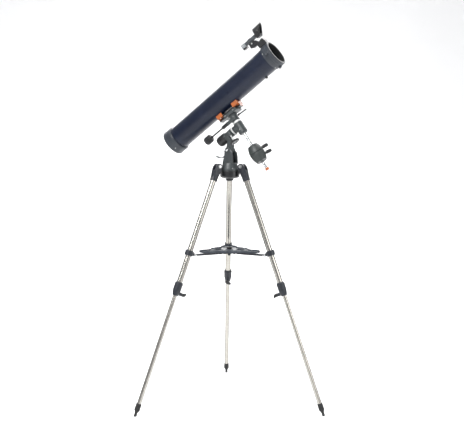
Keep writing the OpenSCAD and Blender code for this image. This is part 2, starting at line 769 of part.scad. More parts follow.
// Pinion shaft with a knob at each end
module focus_knobs() {
    color(plastic_black) focuser_frame() translate([pinion_x, 0, pinion_z]) {
        rod_y(3, -34, 34);
        for (side = [-1, 1]) rotate([90 * side, 0, 0]) translate([0, 0, 24]) fluted_knob(15, 13, 18);
    }
}

// Eyepiece in its standard barrel
module eyepiece() {
    seat = 152.3;
    color(plastic_black) focuser_frame() translate([0, 0, seat]) difference() {
        rotate_extrude() polygon([
            [0, -24], [15.875, -24], [15.875, 0], [19, 0], [21, 3], [21, 24], [22, 26], [22, 50],
            [20, 56], [18, 62], [0, 62]
        ]);
        translate([0, 0, 56]) cylinder(r1 = 7, r2 = 12, h = 6 + eps);
        translate([0, 0, -25]) cylinder(r = 13, h = 15);
    }
}

// Places a shape on the finder's base, with +z away from the tube and x = 0 at the front rim
module finder_frame() {
    tube_frame() translate([tube_len / 2, 0, 0]) rotate([-finder_turn, 0, 0]) children();
}

// Finder base: foot on the front ring with two cheeks that reach back to the finder's pivot
module finder_base() {
    slot_w = 12.4;
    cheek_t = 7;
    foot_w = 30;
    web_top = 88;
    color("#3a3e42") difference() {
        finder_frame() difference() {
            union() {
                rotate([90, 0, 0]) linear_extrude(foot_w, center = true) polygon([
                    [-44, ring_r - 10], [-44, 76], [-40, 80], [-13, web_top], [-8, 86], [-4, 72], [-4, ring_r - 10]
                ]);
                rotate([90, 0, 0]) linear_extrude(slot_w + 2 * cheek_t, center = true) polygon([
                    [-30, 76], [-66, 79], [-76, 84], [-73, 105], [-46, 105], [-39, 97], [-30, 86]
                ]);
                translate([-42, 0, 95]) rod_y(5.5, -16, -12);
            }
            translate([-90, -slot_w / 2, web_top]) cube([60, slot_w, 40]);
            translate(finder_pivot) rod_y(3 + run, -20, 20);
        }
        tube_frame() rod_x(ring_r + run, 0, tube_len);
    }
}

// Red-dot finder: a body with a tongue, a rear battery block and a raked hood round the window
module finder() {
    body_z = 106.6;
    body_top = 121;
    hood_arch_z = 127.5;
    hood_r = 18;
    color("#33373b") finder_frame() {
        translate(finder_pivot) rod_y(3, -12, 12);
        translate(finder_pivot) rod_y(6.5, -6, 6);
        translate([finder_pivot[0] - 6.5, -6, finder_pivot[2]]) cube([13, 12, 12]);
        translate([-88, -11, body_z]) cube([68, 22, body_top - body_z]);
        translate([-106, -13, 98]) cube([19, 26, 24.5]);
        difference() {
            intersection() {
                rotate([90, 0, 0]) linear_extrude(2 * hood_r, center = true) polygon([
                    [-25, 98], [-24, 120], [-21, 145.5], [23, 145.5], [11, 127], [-8, 98]
                ]);
                union() {
                    translate([0, 0, hood_arch_z]) rod_x(hood_r, -40, 40);
                    translate([-40, -hood_r, 90]) cube([80, 2 * hood_r, hood_arch_z - 90]);
                }
            }
            translate([0, 0, hood_arch_z]) rod_x(hood_r - 3, -18, 40);
            translate([-18, -hood_r + 3, 107]) cube([60, 2 * hood_r - 6, hood_arch_z - 107]);
            translate([0, 0, hood_arch_z]) rod_x(9, -40, 0);
        }
        translate([-9, 0, 119]) rod_y(8, -21, -hood_r + 1);
    }
    color([0.6, 0.3, 0.3, 0.5]) finder_frame() translate([0, 0, hood_arch_z]) rod_x(hood_r - 2, -16, -14);
}

module placed() {
    translate([0, -stance_y, 0]) children();
}

placed() tripod_head();
placed() azimuth_bolt();
placed() leg_hinge_bolts();
placed() leg_bracket(leg_angles[0]);  // left_leg_bracket
placed() upper_leg(leg_angles[0]);  // left_upper_leg
placed() brace_clamp(leg_angles[0]);  // left_brace_clamp
placed() leg_lock(leg_angles[0]);  // left_leg_lock
placed() lock_knob(leg_angles[0]);  // left_lock_knob
placed() lower_leg(leg_angles[0]);  // left_lower_leg
placed() foot(leg_angles[0]);  // left_foot
placed() brace_arm(leg_angles[0]);  // left_brace_arm
placed() leg_bracket(leg_angles[1]);  // right_leg_bracket
placed() upper_leg(leg_angles[1]);  // right_upper_leg
placed() brace_clamp(leg_angles[1]);  // right_brace_clamp
placed() leg_lock(leg_angles[1]);  // right_leg_lock
placed() lock_knob(leg_angles[1]);  // right_lock_knob
placed() lower_leg(leg_angles[1]);  // right_lower_leg
placed() foot(leg_angles[1]);  // right_foot
placed() brace_arm(leg_angles[1]);  // right_brace_arm
placed() leg_bracket(leg_angles[2]);  // rear_leg_bracket
placed() upper_leg(leg_angles[2]);  // rear_upper_leg
placed() brace_clamp(leg_angles[2]);  // rear_brace_clamp
placed() leg_lock(leg_angles[2]);  // rear_leg_lock
placed() lock_knob(leg_angles[2]);  // rear_lock_knob
placed() lower_leg(leg_angles[2]);  // rear_lower_leg
placed() foot(leg_angles[2]);  // rear_foot
placed() brace_arm(leg_angles[2]);  // rear_brace_arm
placed() brace_hub();
placed() accessory_tray();
placed() azimuth_base();
placed() latitude_lock();
placed() latitude_screw();
placed() polar_housing();
placed() polar_cap();
placed() setting_circles();
placed() ra_slow_motion();
placed() dec_housing();
placed() dec_head();
placed() dec_lock_lever();
placed() dec_slow_motion();
placed() saddle();
placed() counterweight_shaft();
placed() upper_counterweight();
placed() lower_counterweight();
placed() weight_knob(seam_z + weight_knob_h);  // upper_weight_knob
placed() weight_knob(seam_z - weight_knob_h);  // lower_weight_knob
placed() safety_cap();
placed() dovetail_bar();
placed() main_tube();
placed() front_ring();
placed() rear_cell();
placed() primary_mirror();
placed() secondary_mirror();
placed() spider();
placed() focuser_body();
placed() drawtube();
placed() focus_knobs();
placed() eyepiece();
placed() finder_base();
placed() finder();
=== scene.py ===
import json
import math

import bmesh
import bpy
from mathutils import Matrix, Vector

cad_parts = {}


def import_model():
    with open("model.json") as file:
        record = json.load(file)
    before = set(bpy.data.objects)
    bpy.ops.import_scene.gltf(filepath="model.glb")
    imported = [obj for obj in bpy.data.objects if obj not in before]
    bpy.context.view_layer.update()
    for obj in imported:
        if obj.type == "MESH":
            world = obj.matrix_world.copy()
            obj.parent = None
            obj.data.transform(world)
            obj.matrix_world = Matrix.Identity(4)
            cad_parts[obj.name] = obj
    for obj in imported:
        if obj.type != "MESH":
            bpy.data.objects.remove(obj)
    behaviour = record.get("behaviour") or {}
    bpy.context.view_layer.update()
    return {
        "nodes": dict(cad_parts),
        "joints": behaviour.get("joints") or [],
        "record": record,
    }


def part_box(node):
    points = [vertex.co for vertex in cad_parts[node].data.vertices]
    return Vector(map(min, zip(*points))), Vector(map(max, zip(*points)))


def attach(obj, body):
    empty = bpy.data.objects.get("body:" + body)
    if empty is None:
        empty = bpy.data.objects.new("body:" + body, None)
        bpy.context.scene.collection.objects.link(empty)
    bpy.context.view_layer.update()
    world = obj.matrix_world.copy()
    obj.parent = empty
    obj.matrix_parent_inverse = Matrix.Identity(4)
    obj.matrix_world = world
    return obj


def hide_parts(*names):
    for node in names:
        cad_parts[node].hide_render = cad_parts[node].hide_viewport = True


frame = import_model()

MM = 0.001
JOINTS = {j["name"]: j for j in frame["joints"]}
NODES = frame["nodes"]
LEGS = ("left", "right", "rear")


# ---------- Frames, taken from the joints ----------

def axis(joint):
    return Vector(JOINTS[joint]["axis"]).normalized()


def place(joint):
    return Vector(JOINTS[joint]["pos_m"])


def frame_of(origin, x, y, z):
    m = Matrix.Identity(4)
    for i, v in enumerate((x, y, z, origin)):
        m.col[i][:3] = v
    return m


def shifted(m, x=0.0, y=0.0, z=0.0):
    """The frame m moved by millimetres along its own axes."""
    return m @ Matrix.Translation(Vector((x, y, z)) * MM)


def turned(m, degrees, about):
    return m @ Matrix.Rotation(math.radians(degrees), 4, about)


def leg_frame(leg):
    z, y = axis(leg + "_leg_slide"), axis(leg + "_leg_fold")
    return frame_of(place(leg + "_leg_fold"), y.cross(z), y, z)


def polar_frame():
    x, z = axis("ra_turn"), axis("dec_turn")
    return frame_of(place("ra_turn"), x, z.cross(x), z)


def base_frame():
    x, z = axis("latitude_screw_travel"), Vector((0, 0, 1))
    return frame_of(place("latitude_tilt"), x, z.cross(x), z)


COLUMN = Matrix.Translation((0, place("azimuth_turn").y, 0))
POLAR = polar_frame()
BASE = base_frame()
LEG_FRAMES = {leg: leg_frame(leg) for leg in LEGS}
TUBE_H = 147.5
TUBE_LEN = 660.0
TUBE = shifted(POLAR, z=TUBE_H)


def focuser_frame():
    z, y = axis("drawtube_slide"), axis("focus_turn")
    x = y.cross(z)
    pinion = TUBE.inverted() @ place("focus_turn")
    origin = TUBE @ Vector((pinion.x + 25 * MM, 0, 0))
    return frame_of(origin, x, y, z)


def finder_frame():
    x, y = axis("ra_turn"), axis("finder_tilt")
    return frame_of(TUBE @ Vector((TUBE_LEN / 2 * MM, 0, 0)), x, y, x.cross(y))


FOCUSER = focuser_frame()
FINDER = finder_frame()
ALONG_X = Matrix.Rotation(math.radians(90), 4, "Y")
ALONG_Y = Matrix.Rotation(math.radians(-90), 4, "X")
CYCLE = frame_of(Vector(), Vector((0, 1, 0)), Vector((0, 0, 1)), Vector((1, 0, 0)))


# ---------- Mesh building, in millimetres in a local frame ----------

class Build:
    """Collects shapes in one frame, then makes one piece of them."""

    def __init__(self, frame_matrix):
        self.matrix = frame_matrix
        self.bm = bmesh.new()

    def add(self, verts, faces, local=None, slot=0):
        local = local or Matrix.Identity(4)
        made = [self.bm.verts.new(local @ Vector(v)) for v in verts]
        for f in faces:
            face = self.bm.faces.new([made[i] for i in f])
            face.material_index = slot
            face.smooth = True
        return self

    def lathe(self, profile, local=None, segments=72, slot=0, flutes=None, closed=False):
        """Turns (r, z) points about z. flutes is (count, depth, low z, high z) for a fluted grip."""
        rings, verts = [], []
        for r, z in profile:
            if r < 1e-6:
                rings.append([len(verts)])
                verts.append((0, 0, z))
                continue
            start = len(verts)
            for i in range(segments):
                a = 2 * math.pi * i / segments
                radius = r
                if flutes and flutes[2] <= z <= flutes[3]:
                    radius -= flutes[1] * max(0.0, math.cos(a * flutes[0])) ** 1.5
                verts.append((radius * math.cos(a), radius * math.sin(a), z))
            rings.append(list(range(start, start + segments)))
        if closed:
            rings.append(rings[0])
        faces = []
        for low, high in zip(rings, rings[1:]):
            for i in range(segments):
                j = (i + 1) % segments
                if len(low) == 1 and len(high) > 1:
                    faces.append((low[0], high[j], high[i]))
                elif len(high) == 1 and len(low) > 1:
                    faces.append((low[i], low[j], high[0]))
                elif len(low) > 1:
                    faces.append((low[i], low[j], high[j], high[i]))
        return self.add(verts, faces, local, slot)

    def prism(self, outline, z0, z1, local=None, slot=0):
        n = len(outline)
        verts = [(x, y, z0) for x, y in outline] + [(x, y, z1) for x, y in outline]
        faces = [(i, (i + 1) % n, n + (i + 1) % n, n + i) for i in range(n)]
        faces += [tuple(reversed(range(n))), tuple(range(n, 2 * n))]
        return self.add(verts, faces, local, slot)

    def box(self, low, high, local=None, slot=0):
        (x0, y0, z0), (x1, y1, z1) = low, high
        return self.prism([(x0, y0), (x1, y0), (x1, y1), (x0, y1)], z0, z1, local, slot)

    def pipe(self, points, r, local=None, slot=0, segments=20):
        """A round bar through points, with flat ends."""
        pts = [Vector(p) for p in points]
        verts, faces = [], []
        up = Vector((0.13, 0.31, 0.94))
        for i, p in enumerate(pts):
            d = (pts[min(i + 1, len(pts) - 1)] - pts[max(i - 1, 0)]).normalized()
            u = d.cross(up).normalized()
            v = d.cross(u)
            for k in range(segments):
                a = 2 * math.pi * k / segments
                verts.append(p + r * (math.cos(a) * u + math.sin(a) * v))
        for i in range(len(pts) - 1):
            for k in range(segments):
                a, b = i * segments + k, i * segments + (k + 1) % segments
                faces.append((a, b, b + segments, a + segments))
        faces.append(tuple(reversed(range(segments))))
        faces.append(tuple(range((len(pts) - 1) * segments, len(pts) * segments)))
        return self.add(verts, faces, local, slot)

    def piece(self, name, body, keys, replaces=(), bevel=0.0, angle=35, fuse=0.0, soften=4):
        """Makes the piece in the materials named by keys. The voxel size fuse rounds it like a casting."""
        keys = (keys,) if isinstance(keys, str) else keys
        bmesh.ops.recalc_face_normals(self.bm, faces=self.bm.faces)
        self.bm.transform(self.matrix @ Matrix.Scale(MM, 4))
        mesh = bpy.data.meshes.new(name)
        self.bm.to_mesh(mesh)
        self.bm.free()
        obj = bpy.data.objects.new(name, mesh)
        bpy.context.scene.collection.objects.link(obj)
        for key in keys:
            mesh.materials.append(M[key])
        if fuse:
            fused(obj, fuse, soften)
        else:
            mesh.set_sharp_from_angle(angle=math.radians(angle))
            rounded(obj, bevel)
        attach(obj, body)
        if replaces:
            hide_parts(*replaces)
        return obj


def rounded(obj, width, segments=3):
    """Bevels the sharp edges of obj by width in millimetres."""
    if not width:
        return
    bevel = obj.modifiers.new("Edges", "BEVEL")
    bevel.width = width * MM
    bevel.segments = segments
    bevel.limit_method = "ANGLE"
    bevel.angle_limit = math.radians(35)
    bevel.use_clamp_overlap = True
    bevel.harden_normals = False


def applied(obj):
    """Replaces the object's mesh with the result of its modifiers."""
    graph = bpy.context.evaluated_depsgraph_get()
    mesh = bpy.data.meshes.new_from_object(obj.evaluated_get(graph))
    obj.modifiers.clear()
    obj.data = mesh


def fused(obj, voxel, soften):
    """Joins overlapping shapes into one skin and rounds its edges, as a casting or moulding has."""
    remesh = obj.modifiers.new("Fuse", "REMESH")
    remesh.mode = "VOXEL"
    remesh.voxel_size = voxel * MM
    remesh.use_smooth_shade = True
    smooth = obj.modifiers.new("Round", "CORRECTIVE_SMOOTH")
    smooth.iterations = soften
    smooth.factor = 0.5
    smooth.use_only_smooth = True
    thin = obj.modifiers.new("Thin", "DECIMATE")
    thin.ratio = 0.35
    applied(obj)
    for p in obj.data.polygons:
        p.use_smooth = True


def soft(profile, radius, steps=4):
    """The profile with its inner corners rounded by up to radius."""
    out = [profile[0]]
    for before, corner, after in zip(profile, profile[1:], profile[2:]):
        a, c, b = Vector(before), Vector(corner), Vector(after)
        cut = min(radius, (a - c).length * 0.45, (b - c).length * 0.45)
        start, end = c + (a - c).normalized() * cut, c + (b - c).normalized() * cut
        for i in range(steps + 1):
            t = i / steps
            p = start * (1 - t) ** 2 + c * 2 * t * (1 - t) + end * t * t
            out.append((p.x, p.y))
    return out + [profile[-1]]


def plug(r, low, high, edge):
    """The profile of a solid disc or rod of radius r from low to high, with rounded rims."""
    return soft([(0, low), (r, low), (r, high), (0, high)], edge)


def collar(inner, outer, low, high, edge):
    """The closed profile of a ring with rounded outer rims."""
    return soft([(inner, low), (outer, low), (outer, high), (inner, high)], edge)


def band(z, low, high, foot, crown):
    """The closed profile of a raised band at z, foot either side at radius low and crown at radius high."""
    return [(low, z - foot), (high, z - crown), (high, z + crown), (low, z + foot)]


def arc(cx, cy, r, a0, a1, steps=16):
    """Points on an arc in degrees."""
    angles = [math.radians(a0 + (a1 - a0) * i / steps) for i in range(steps + 1)]
    return [(cx + r * math.cos(a), cy + r * math.sin(a)) for a in angles]


# ---------- Materials ----------

class Shader:
    """Builds one node material on object coordinates, so it stays with its piece."""

    def __init__(self, name):
        self.mat = bpy.data.materials.new(name)
        self.mat.use_nodes = True
        self.tree = self.mat.node_tree
        self.surface = self.tree.nodes["Principled BSDF"]
        self.coords = self.tree.nodes.new("ShaderNodeTexCoord").outputs["Object"]
        self.bump_from = None

    def node(self, kind, values=(), **settings):
        n = self.tree.nodes.new("ShaderNode" + kind)
        for key, value in settings.items():
            setattr(n, key, value)
        for key, value in dict(values).items():
            if isinstance(value, bpy.types.NodeSocket):
                self.tree.links.new(value, n.inputs[key])
            else:
                n.inputs[key].default_value = value
        return n

    def set(self, **values):
        for key, value in values.items():
            socket = self.surface.inputs[key.replace("_", " ")]
            if isinstance(value, bpy.types.NodeSocket):
                self.tree.links.new(value, socket)
            else:
                socket.default_value = value

    def noise(self, size_mm, detail=3.0, stretch=(1, 1, 1), rough=0.55):
        """Noise with features of about size_mm, drawn out along the axes where stretch is small."""
        mapped = self.node("Mapping", {"Vector": self.coords, "Scale": stretch})
        return self.node("TexNoise", {
            "Vector": mapped.outputs[0], "Scale": 1 / (size_mm * MM), "Detail": detail, "Roughness": rough,
        }).outputs["Fac"]

    def ramp(self, fac, low, high, to_low=0.0, to_high=1.0):
        return self.node("MapRange", {
            "Value": fac, "From Min": low, "From Max": high, "To Min": to_low, "To Max": to_high,
        }).outputs[0]

    def mix(self, fac, a, b, blend="MIX"):
        n = self.node("Mix", data_type="RGBA", blend_type=blend)
        for socket, value in ((n.inputs[0], fac), (n.inputs[6], a), (n.inputs[7], b)):
            if isinstance(value, bpy.types.NodeSocket):
                self.tree.links.new(value, socket)
            else:
                socket.default_value = value
        return n.outputs[2]

    def times(self, a, b):
        return self.node("Math", {0: a, 1: b}, operation="MULTIPLY").outputs[0]

    def bump(self, height, depth_mm, strength=1.0):
        values = {"Height": height, "Distance": depth_mm * MM, "Strength": strength}
        if self.bump_from:
            values["Normal"] = self.bump_from
        self.bump_from = self.node("Bump", values).outputs[0]
        self.set(Normal=self.bump_from)

    def edges(self, width_mm=0.6, low=0.02, high=0.18):
        """1 on sharp outer edges and 0 on flats, from the surface's own rounding."""
        geometry = self.node("NewGeometry")
        soft_normal = self.node("Bevel", {"Radius": width_mm * MM}, samples=4).outputs[0]
        dot = self.node("VectorMath", {0: soft_normal, 1: geometry.outputs["Normal"]},
                        operation="DOT_PRODUCT")
        return self.ramp(dot.outputs["Value"], 1 - low, 1 - high)

    def dust(self, size_mm=6.0):
        """A thin film on faces that look up."""
        normal = self.node("NewGeometry").outputs["Normal"]
        up = self.node("SeparateXYZ", {"Vector": normal}).outputs["Z"]
        return self.times(self.ramp(up, 0.35, 1.0), self.ramp(self.noise(size_mm, 4), 0.4, 0.8))


def rgb(r, g, b):
    """A linear colour from 0-255 screen values."""
    return tuple(((v / 255 + 0.055) / 1.055) ** 2.4 for v in (r, g, b)) + (1.0,)


def shade(colour, k):
    return tuple(min(1.0, c * k) for c in colour[:3]) + (1.0,)


def paint(name, colour, rough=0.35, grain_mm=1.2, grain_depth=0.02, coat=0.0, worn=(150, 150, 148),
          wear=0.35,
          specular=0.5, vary=0.16):
    """Sprayed paint: slow colour drift, orange peel, uneven gloss, and edges rubbed through."""
    s = Shader(name)
    drift = s.ramp(s.noise(38, 3), 0.3, 0.7)
    base = s.mix(drift, shade(colour, 1 - vary), shade(colour, 1 + vary))
    fine = s.ramp(s.noise(2.2, 4), 0.35, 0.65)
    base = s.mix(s.times(fine, 0.18), base, shade(colour, 1.6))
    rub = s.times(s.edges(), s.times(s.ramp(s.noise(3.5, 5), 0.42, 0.62), wear))
    base = s.mix(rub, base, rgb(*worn))
    base = s.mix(s.times(s.dust(), 0.10), base, rgb(176, 174, 168))
    gloss = s.ramp(s.noise(14, 5), 0.3, 0.7, rough - 0.05, rough + 0.08)
    s.set(Base_Color=base, Roughness=gloss, Coat_Weight=coat, Coat_Roughness=0.12)
    s.set(**{"Specular_IOR_Level": specular})
    s.bump(s.noise(grain_mm, 2), grain_depth)
    return s.mat


def moulded(name, colour, rough=0.42, grain_mm=0.7, grain_depth=0.03, specular=0.5, wear=0.25):
    """Moulded plastic: fine spark texture, flow marks, scuffed edges and a little dust."""
    s = Shader(name)
    flow = s.ramp(s.noise(26, 2, (1, 1, 0.4)), 0.32, 0.68)
    base = s.mix(flow, shade(colour, 0.85), shade(colour, 1.2))
    scuff = s.times(s.ramp(s.noise(5, 6), 0.52, 0.72), 0.25)
    base = s.mix(scuff, base, shade(colour, 1.9))
    rub = s.times(s.edges(0.5), s.times(s.ramp(s.noise(2.5, 5), 0.4, 0.65), wear))
    base = s.mix(rub, base, shade(colour, 3.2))
    base = s.mix(s.times(s.dust(4), 0.12), base, rgb(168, 166, 160))
    gloss = s.ramp(s.noise(9, 5), 0.3, 0.7, rough - 0.08, rough + 0.10)
    s.set(Base_Color=base, Roughness=gloss)
    s.set(**{"Specular_IOR_Level": specular})
    s.bump(s.noise(grain_mm, 2), grain_depth)
    s.bump(s.noise(9, 2), 0.08, 0.5)
    return s.mat


# Dark specular tint: painted shade on the grazing reflection of metals that have painted rim shade.
PAINTED_RIM_SHADE_TINT = (0.16, 0.16, 0.17, 1)


def metal(name, colour, rough=0.2, brush=None, streak=0.08, painted_rim_shade=0.0, tarnish=0.15):
    """Bare metal. brush is a stretch that draws the grinding marks out along an axis. painted_rim_shade
    paints shade into the colour and the reflection where the surface turns away from the view.
    """
    s = Shader(name)
    drift = s.ramp(s.noise(30, 3), 0.3, 0.7)
    base = s.mix(drift, shade(colour, 1 - tarnish), colour)
    # Painted shade: the colour goes near black where the surface turns away from the view, standing in for
    # dark reflections at the rims.
    if painted_rim_shade:
        facing = s.node("LayerWeight", {"Blend": 0.5}).outputs["Facing"]
        edge = s.ramp(facing, 0.22, 0.8)
        base = s.mix(s.times(edge, painted_rim_shade), base, shade(colour, 0.12))
    spots = s.times(s.ramp(s.noise(1.6, 6), 0.62, 0.72), 0.3)
    base = s.mix(spots, base, shade(colour, 0.62))
    marks = s.noise(0.5, 3, brush or (1, 1, 1))
    gloss = s.node("Math", {0: s.ramp(marks, 0.3, 0.7, rough - streak / 2, rough + streak),
                            1: s.ramp(s.noise(11, 5), 0.35, 0.75, 0.0, 0.08)}, operation="ADD").outputs[0]
    s.set(Base_Color=base, Metallic=1.0, Roughness=gloss)
    # Painted shade: the dark tint dims the bright grazing reflection at the rims.
    s.set(Specular_Tint=PAINTED_RIM_SHADE_TINT if painted_rim_shade else (1, 1, 1, 1))
    s.bump(marks, 0.002)
    return s.mat


def rubber(name, colour):
    s = Shader(name)
    base = s.mix(s.ramp(s.noise(7, 5), 0.35, 0.7), shade(colour, 0.8), shade(colour, 1.5))
    base = s.mix(s.times(s.dust(3), 0.35), base, rgb(150, 146, 138))
    s.set(Base_Color=base, Roughness=s.ramp(s.noise(3, 4), 0.3, 0.7, 0.6, 0.85))
    s.bump(s.noise(0.9, 4), 0.05)
    return s.mat


def tube_lacquer():
    """Deep blue lacquer with fine metal flake, orange peel, dust and a few hairline scratches."""
    s = Shader("tube_paint")
    colour = rgb(12, 20, 38)
    base = s.mix(s.ramp(s.noise(60, 3), 0.3, 0.7), shade(colour, 0.86), shade(colour, 1.16))
    flake = s.ramp(s.noise(0.35, 1), 0.66, 0.78)
    base = s.mix(s.times(flake, 0.35), base, rgb(70, 88, 130))
    scratch = s.ramp(s.noise(1.4, 2, (0.03, 0.5, 0.5)), 0.70, 0.72)
    base = s.mix(s.times(scratch, 0.12), base, rgb(140, 146, 165))
    base = s.mix(s.times(s.dust(10), 0.10), base, rgb(170, 170, 168))
    rough = s.ramp(s.noise(24, 5), 0.3, 0.72, 0.27, 0.40)
    s.set(Base_Color=base, Roughness=rough, Coat_Weight=0.14, Coat_Roughness=0.08, Specular_IOR_Level=0.26)
    s.bump(s.noise(1.8, 1), 0.012)
    return s.mat


def glass_mirror():
    s = Shader("mirror_glass")
    haze = s.ramp(s.noise(12, 5), 0.45, 0.8, 0.015, 0.06)
    base = s.mix(s.ramp(s.noise(20, 2), 0.3, 0.7), rgb(215, 222, 228), rgb(232, 236, 240))
    s.set(Base_Color=base, Metallic=1.0, Roughness=haze)
    s.bump(s.noise(22, 1), 0.002)
    return s.mat


def lens_red():
    s = Shader("finder_lens")
    base = s.mix(s.ramp(s.noise(8, 2), 0.3, 0.7), rgb(120, 30, 34), rgb(150, 44, 60))
    s.set(Base_Color=base, Roughness=s.ramp(s.noise(3, 3), 0.3, 0.7, 0.04, 0.09), Coat_Weight=1.0)
    s.bump(s.noise(9, 1), 0.003)
    return s.mat


def flat_black():
    """Matt black lining with its rough flocked grain."""
    s = Shader("inner_black")
    base = s.mix(s.ramp(s.noise(4, 5), 0.3, 0.7), rgb(9, 9, 10), rgb(22, 22, 24))
    s.set(Base_Color=base, Roughness=s.ramp(s.noise(2, 3), 0.3, 0.7, 0.75, 0.95))
    s.bump(s.noise(0.8, 3), 0.06)
    return s.mat


def dial_face():
    """Satin anodised dial with smudges and a fine grain."""
    s = Shader("dial_metal")
    base = s.mix(s.ramp(s.noise(18, 3), 0.3, 0.7), rgb(205, 207, 206), rgb(232, 233, 231))
    smudge = s.times(s.ramp(s.noise(6, 6), 0.5, 0.72), 0.22)
    base = s.mix(smudge, base, rgb(140, 141, 142))
    s.set(Base_Color=base, Metallic=0.25, Roughness=s.ramp(s.noise(5, 5), 0.3, 0.7, 0.28, 0.42))
    s.bump(s.noise(0.4, 2), 0.006)
    return s.mat


M = {
    "tube": tube_lacquer(),
    "ring": paint("ring_paint", rgb(37, 42, 49), 0.38, 1.0, 0.03, wear=0.3),
    "mount": paint("mount_paint", rgb(50, 55, 56), 0.40, 1.3, 0.05, wear=0.4),
    "weight": paint("weight_paint", rgb(42, 47, 46), 0.46, 1.1, 0.04, wear=0.5),
    "bracket": moulded("blue_black_plastic", rgb(22, 26, 34), 0.36, 0.8, 0.03),
    "tray": moulded("tray_plastic", rgb(42, 48, 56), 0.44, 0.9, 0.04),
    "black": moulded("black_plastic", rgb(20, 21, 23), 0.34, 0.6, 0.02),
    "grey": moulded("grey_plastic", rgb(58, 62, 66), 0.42, 0.8, 0.03),
    "pale": moulded("pale_plastic", rgb(126, 130, 132), 0.36, 0.8, 0.02),
    "orange": paint("orange_plastic", rgb(160, 84, 34), 0.36, 1.0, 0.03, coat=0.3, worn=(214, 190, 168),
                    wear=0.3),
    # The second last number of each metal is how much painted shade its rims get.
    "leg": metal("leg_steel", rgb(180, 177, 170), 0.20, (1, 1, 0.02), 0.05, 0.96, 0.10),
    "chrome": metal("bright_steel", rgb(205, 207, 208), 0.12, None, 0.05, 0.8, 0.08),
    "bolt": metal("bolt_steel", rgb(200, 201, 200), 0.26, None, 0.08, 0.3, 0.2),
    "rubber": rubber("foot_rubber", rgb(26, 26, 27)),
    "dial": dial_face(),
    "mark": moulded("dial_mark", rgb(24, 24, 26), 0.5, 0.6, 0.01),
    "mirror": glass_mirror(),
    "lens": lens_red(),
    "lining": flat_black(),
}


WELD_M = 0.00002


def finish(node, key, bevel=0.0):
    """Gives a CAD node its material, welded and rounded edges, and smooth shading."""
    obj = NODES[node]
    obj.data.materials.clear()
    obj.data.materials.append(M[key])
    for p in obj.data.polygons:
        p.material_index = 0
        p.use_smooth = True
    weld = obj.modifiers.new("Weld", "WELD")
    weld.merge_threshold = WELD_M
    if bevel:
        rounded(obj, bevel, 2)
    split = obj.modifiers.new("Smooth", "EDGE_SPLIT")
    split.split_angle = math.radians(38)
    if bevel:
        obj.modifiers.remove(split)
        normal = obj.modifiers.new("Normals", "WEIGHTED_NORMAL")
        normal.keep_sharp = False
    return obj


def cast(node, key, voxel, soften):
    """A softened skin over a CAD node: the same shape with rounded edges and fillets, as cast."""
    bm = bmesh.new()
    bm.from_mesh(NODES[node].data)
    bmesh.ops.remove_doubles(bm, verts=bm.verts, dist=WELD_M)
    mesh = bpy.data.meshes.new(node + "_shell")
    bm.to_mesh(mesh)
    bm.free()
    obj = bpy.data.objects.new(node + "_shell", mesh)
    bpy.context.scene.collection.objects.link(obj)
    mesh.materials.clear()
    mesh.materials.append(M[key])
    fused(obj, voxel, soften)
    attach(obj, BODY_OF[node])
    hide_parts(node)
    return obj


BODY_OF = {n: body for body, nodes in frame["record"]["behaviour"]["bodies"].items() for n in nodes}


def grip(build, local, r, h, flutes, slot=0, dish=1.4):
    """A fluted hand knob along local z with softened rims and a dished end."""
    profile = soft([(0, 0), (r * 0.74, 0), (r, h * 0.16), (r, h * 0.84), (r * 0.82, h), (r * 0.52, h),
                    (r * 0.46, h - dish), (0, h - dish)], 1.2)
    dense = []
    for a, b in zip(profile, profile[1:]):
        steps = 4 if abs(b[1] - a[1]) > h * 0.3 else 1
        dense += [(a[0] + (b[0] - a[0]) * i / steps, a[1] + (b[1] - a[1]) * i / steps) for i in range(steps)]
    build.lathe(dense + [profile[-1]], local, flutes * 10, slot, (flutes, r * 0.10, h * 0.08, h * 0.95))


def at(x=0.0, y=0.0, z=0.0, turn=None):
    m = Matrix.Translation(Vector((x, y, z)))
    return m @ turn if turn else m


def spin(degrees, about="Z"):
    return Matrix.Rotation(math.radians(degrees), 4, about)


def hexagon(build, local, across, z0, z1, slot=0):
    """A hexagon head with its chamfered crown."""
    r = across / 2 / math.cos(math.radians(30))
    flat = [(r * math.cos(math.radians(60 * i)), r * math.sin(math.radians(60 * i))) for i in range(6)]
    crown = [(x * 0.93, y * 0.93) for x, y in flat]
    rim = z1 - (z1 - z0) * 0.16
    verts = [(x, y, z0) for x, y in flat] + [(x, y, rim) for x, y in flat] + [(x, y, z1) for x, y in crown]
    faces = [(i, (i + 1) % 6, 6 + (i + 1) % 6, 6 + i) for i in range(6)]
    faces += [(6 + i, 6 + (i + 1) % 6, 12 + (i + 1) % 6, 12 + i) for i in range(6)]
    faces += [tuple(reversed(range(6))), tuple(range(12, 18))]
    build.add(verts, faces, local, slot)


def cap_screw(build, local, r, h, slot=0):
    """A socket-head screw seen from outside: knurled rim and a round recess."""
    profile = soft([(0, h - r * 0.7), (r * 0.5, h - r * 0.7), (r * 0.55, h), (r, h), (r, 0), (0, 0)], 0.35)
    build.lathe(list(reversed(profile)), local, 48, slot, (16, r * 0.05, h * 0.1, h * 0.85))


# ---------- Tripod ----------

HINGE_R = (place("left_leg_fold") - place("azimuth_turn")).to_2d().length / MM
LOWER_R = 9.5
LOCK_TOP = -541.0
CLAMP_Z = -407.0


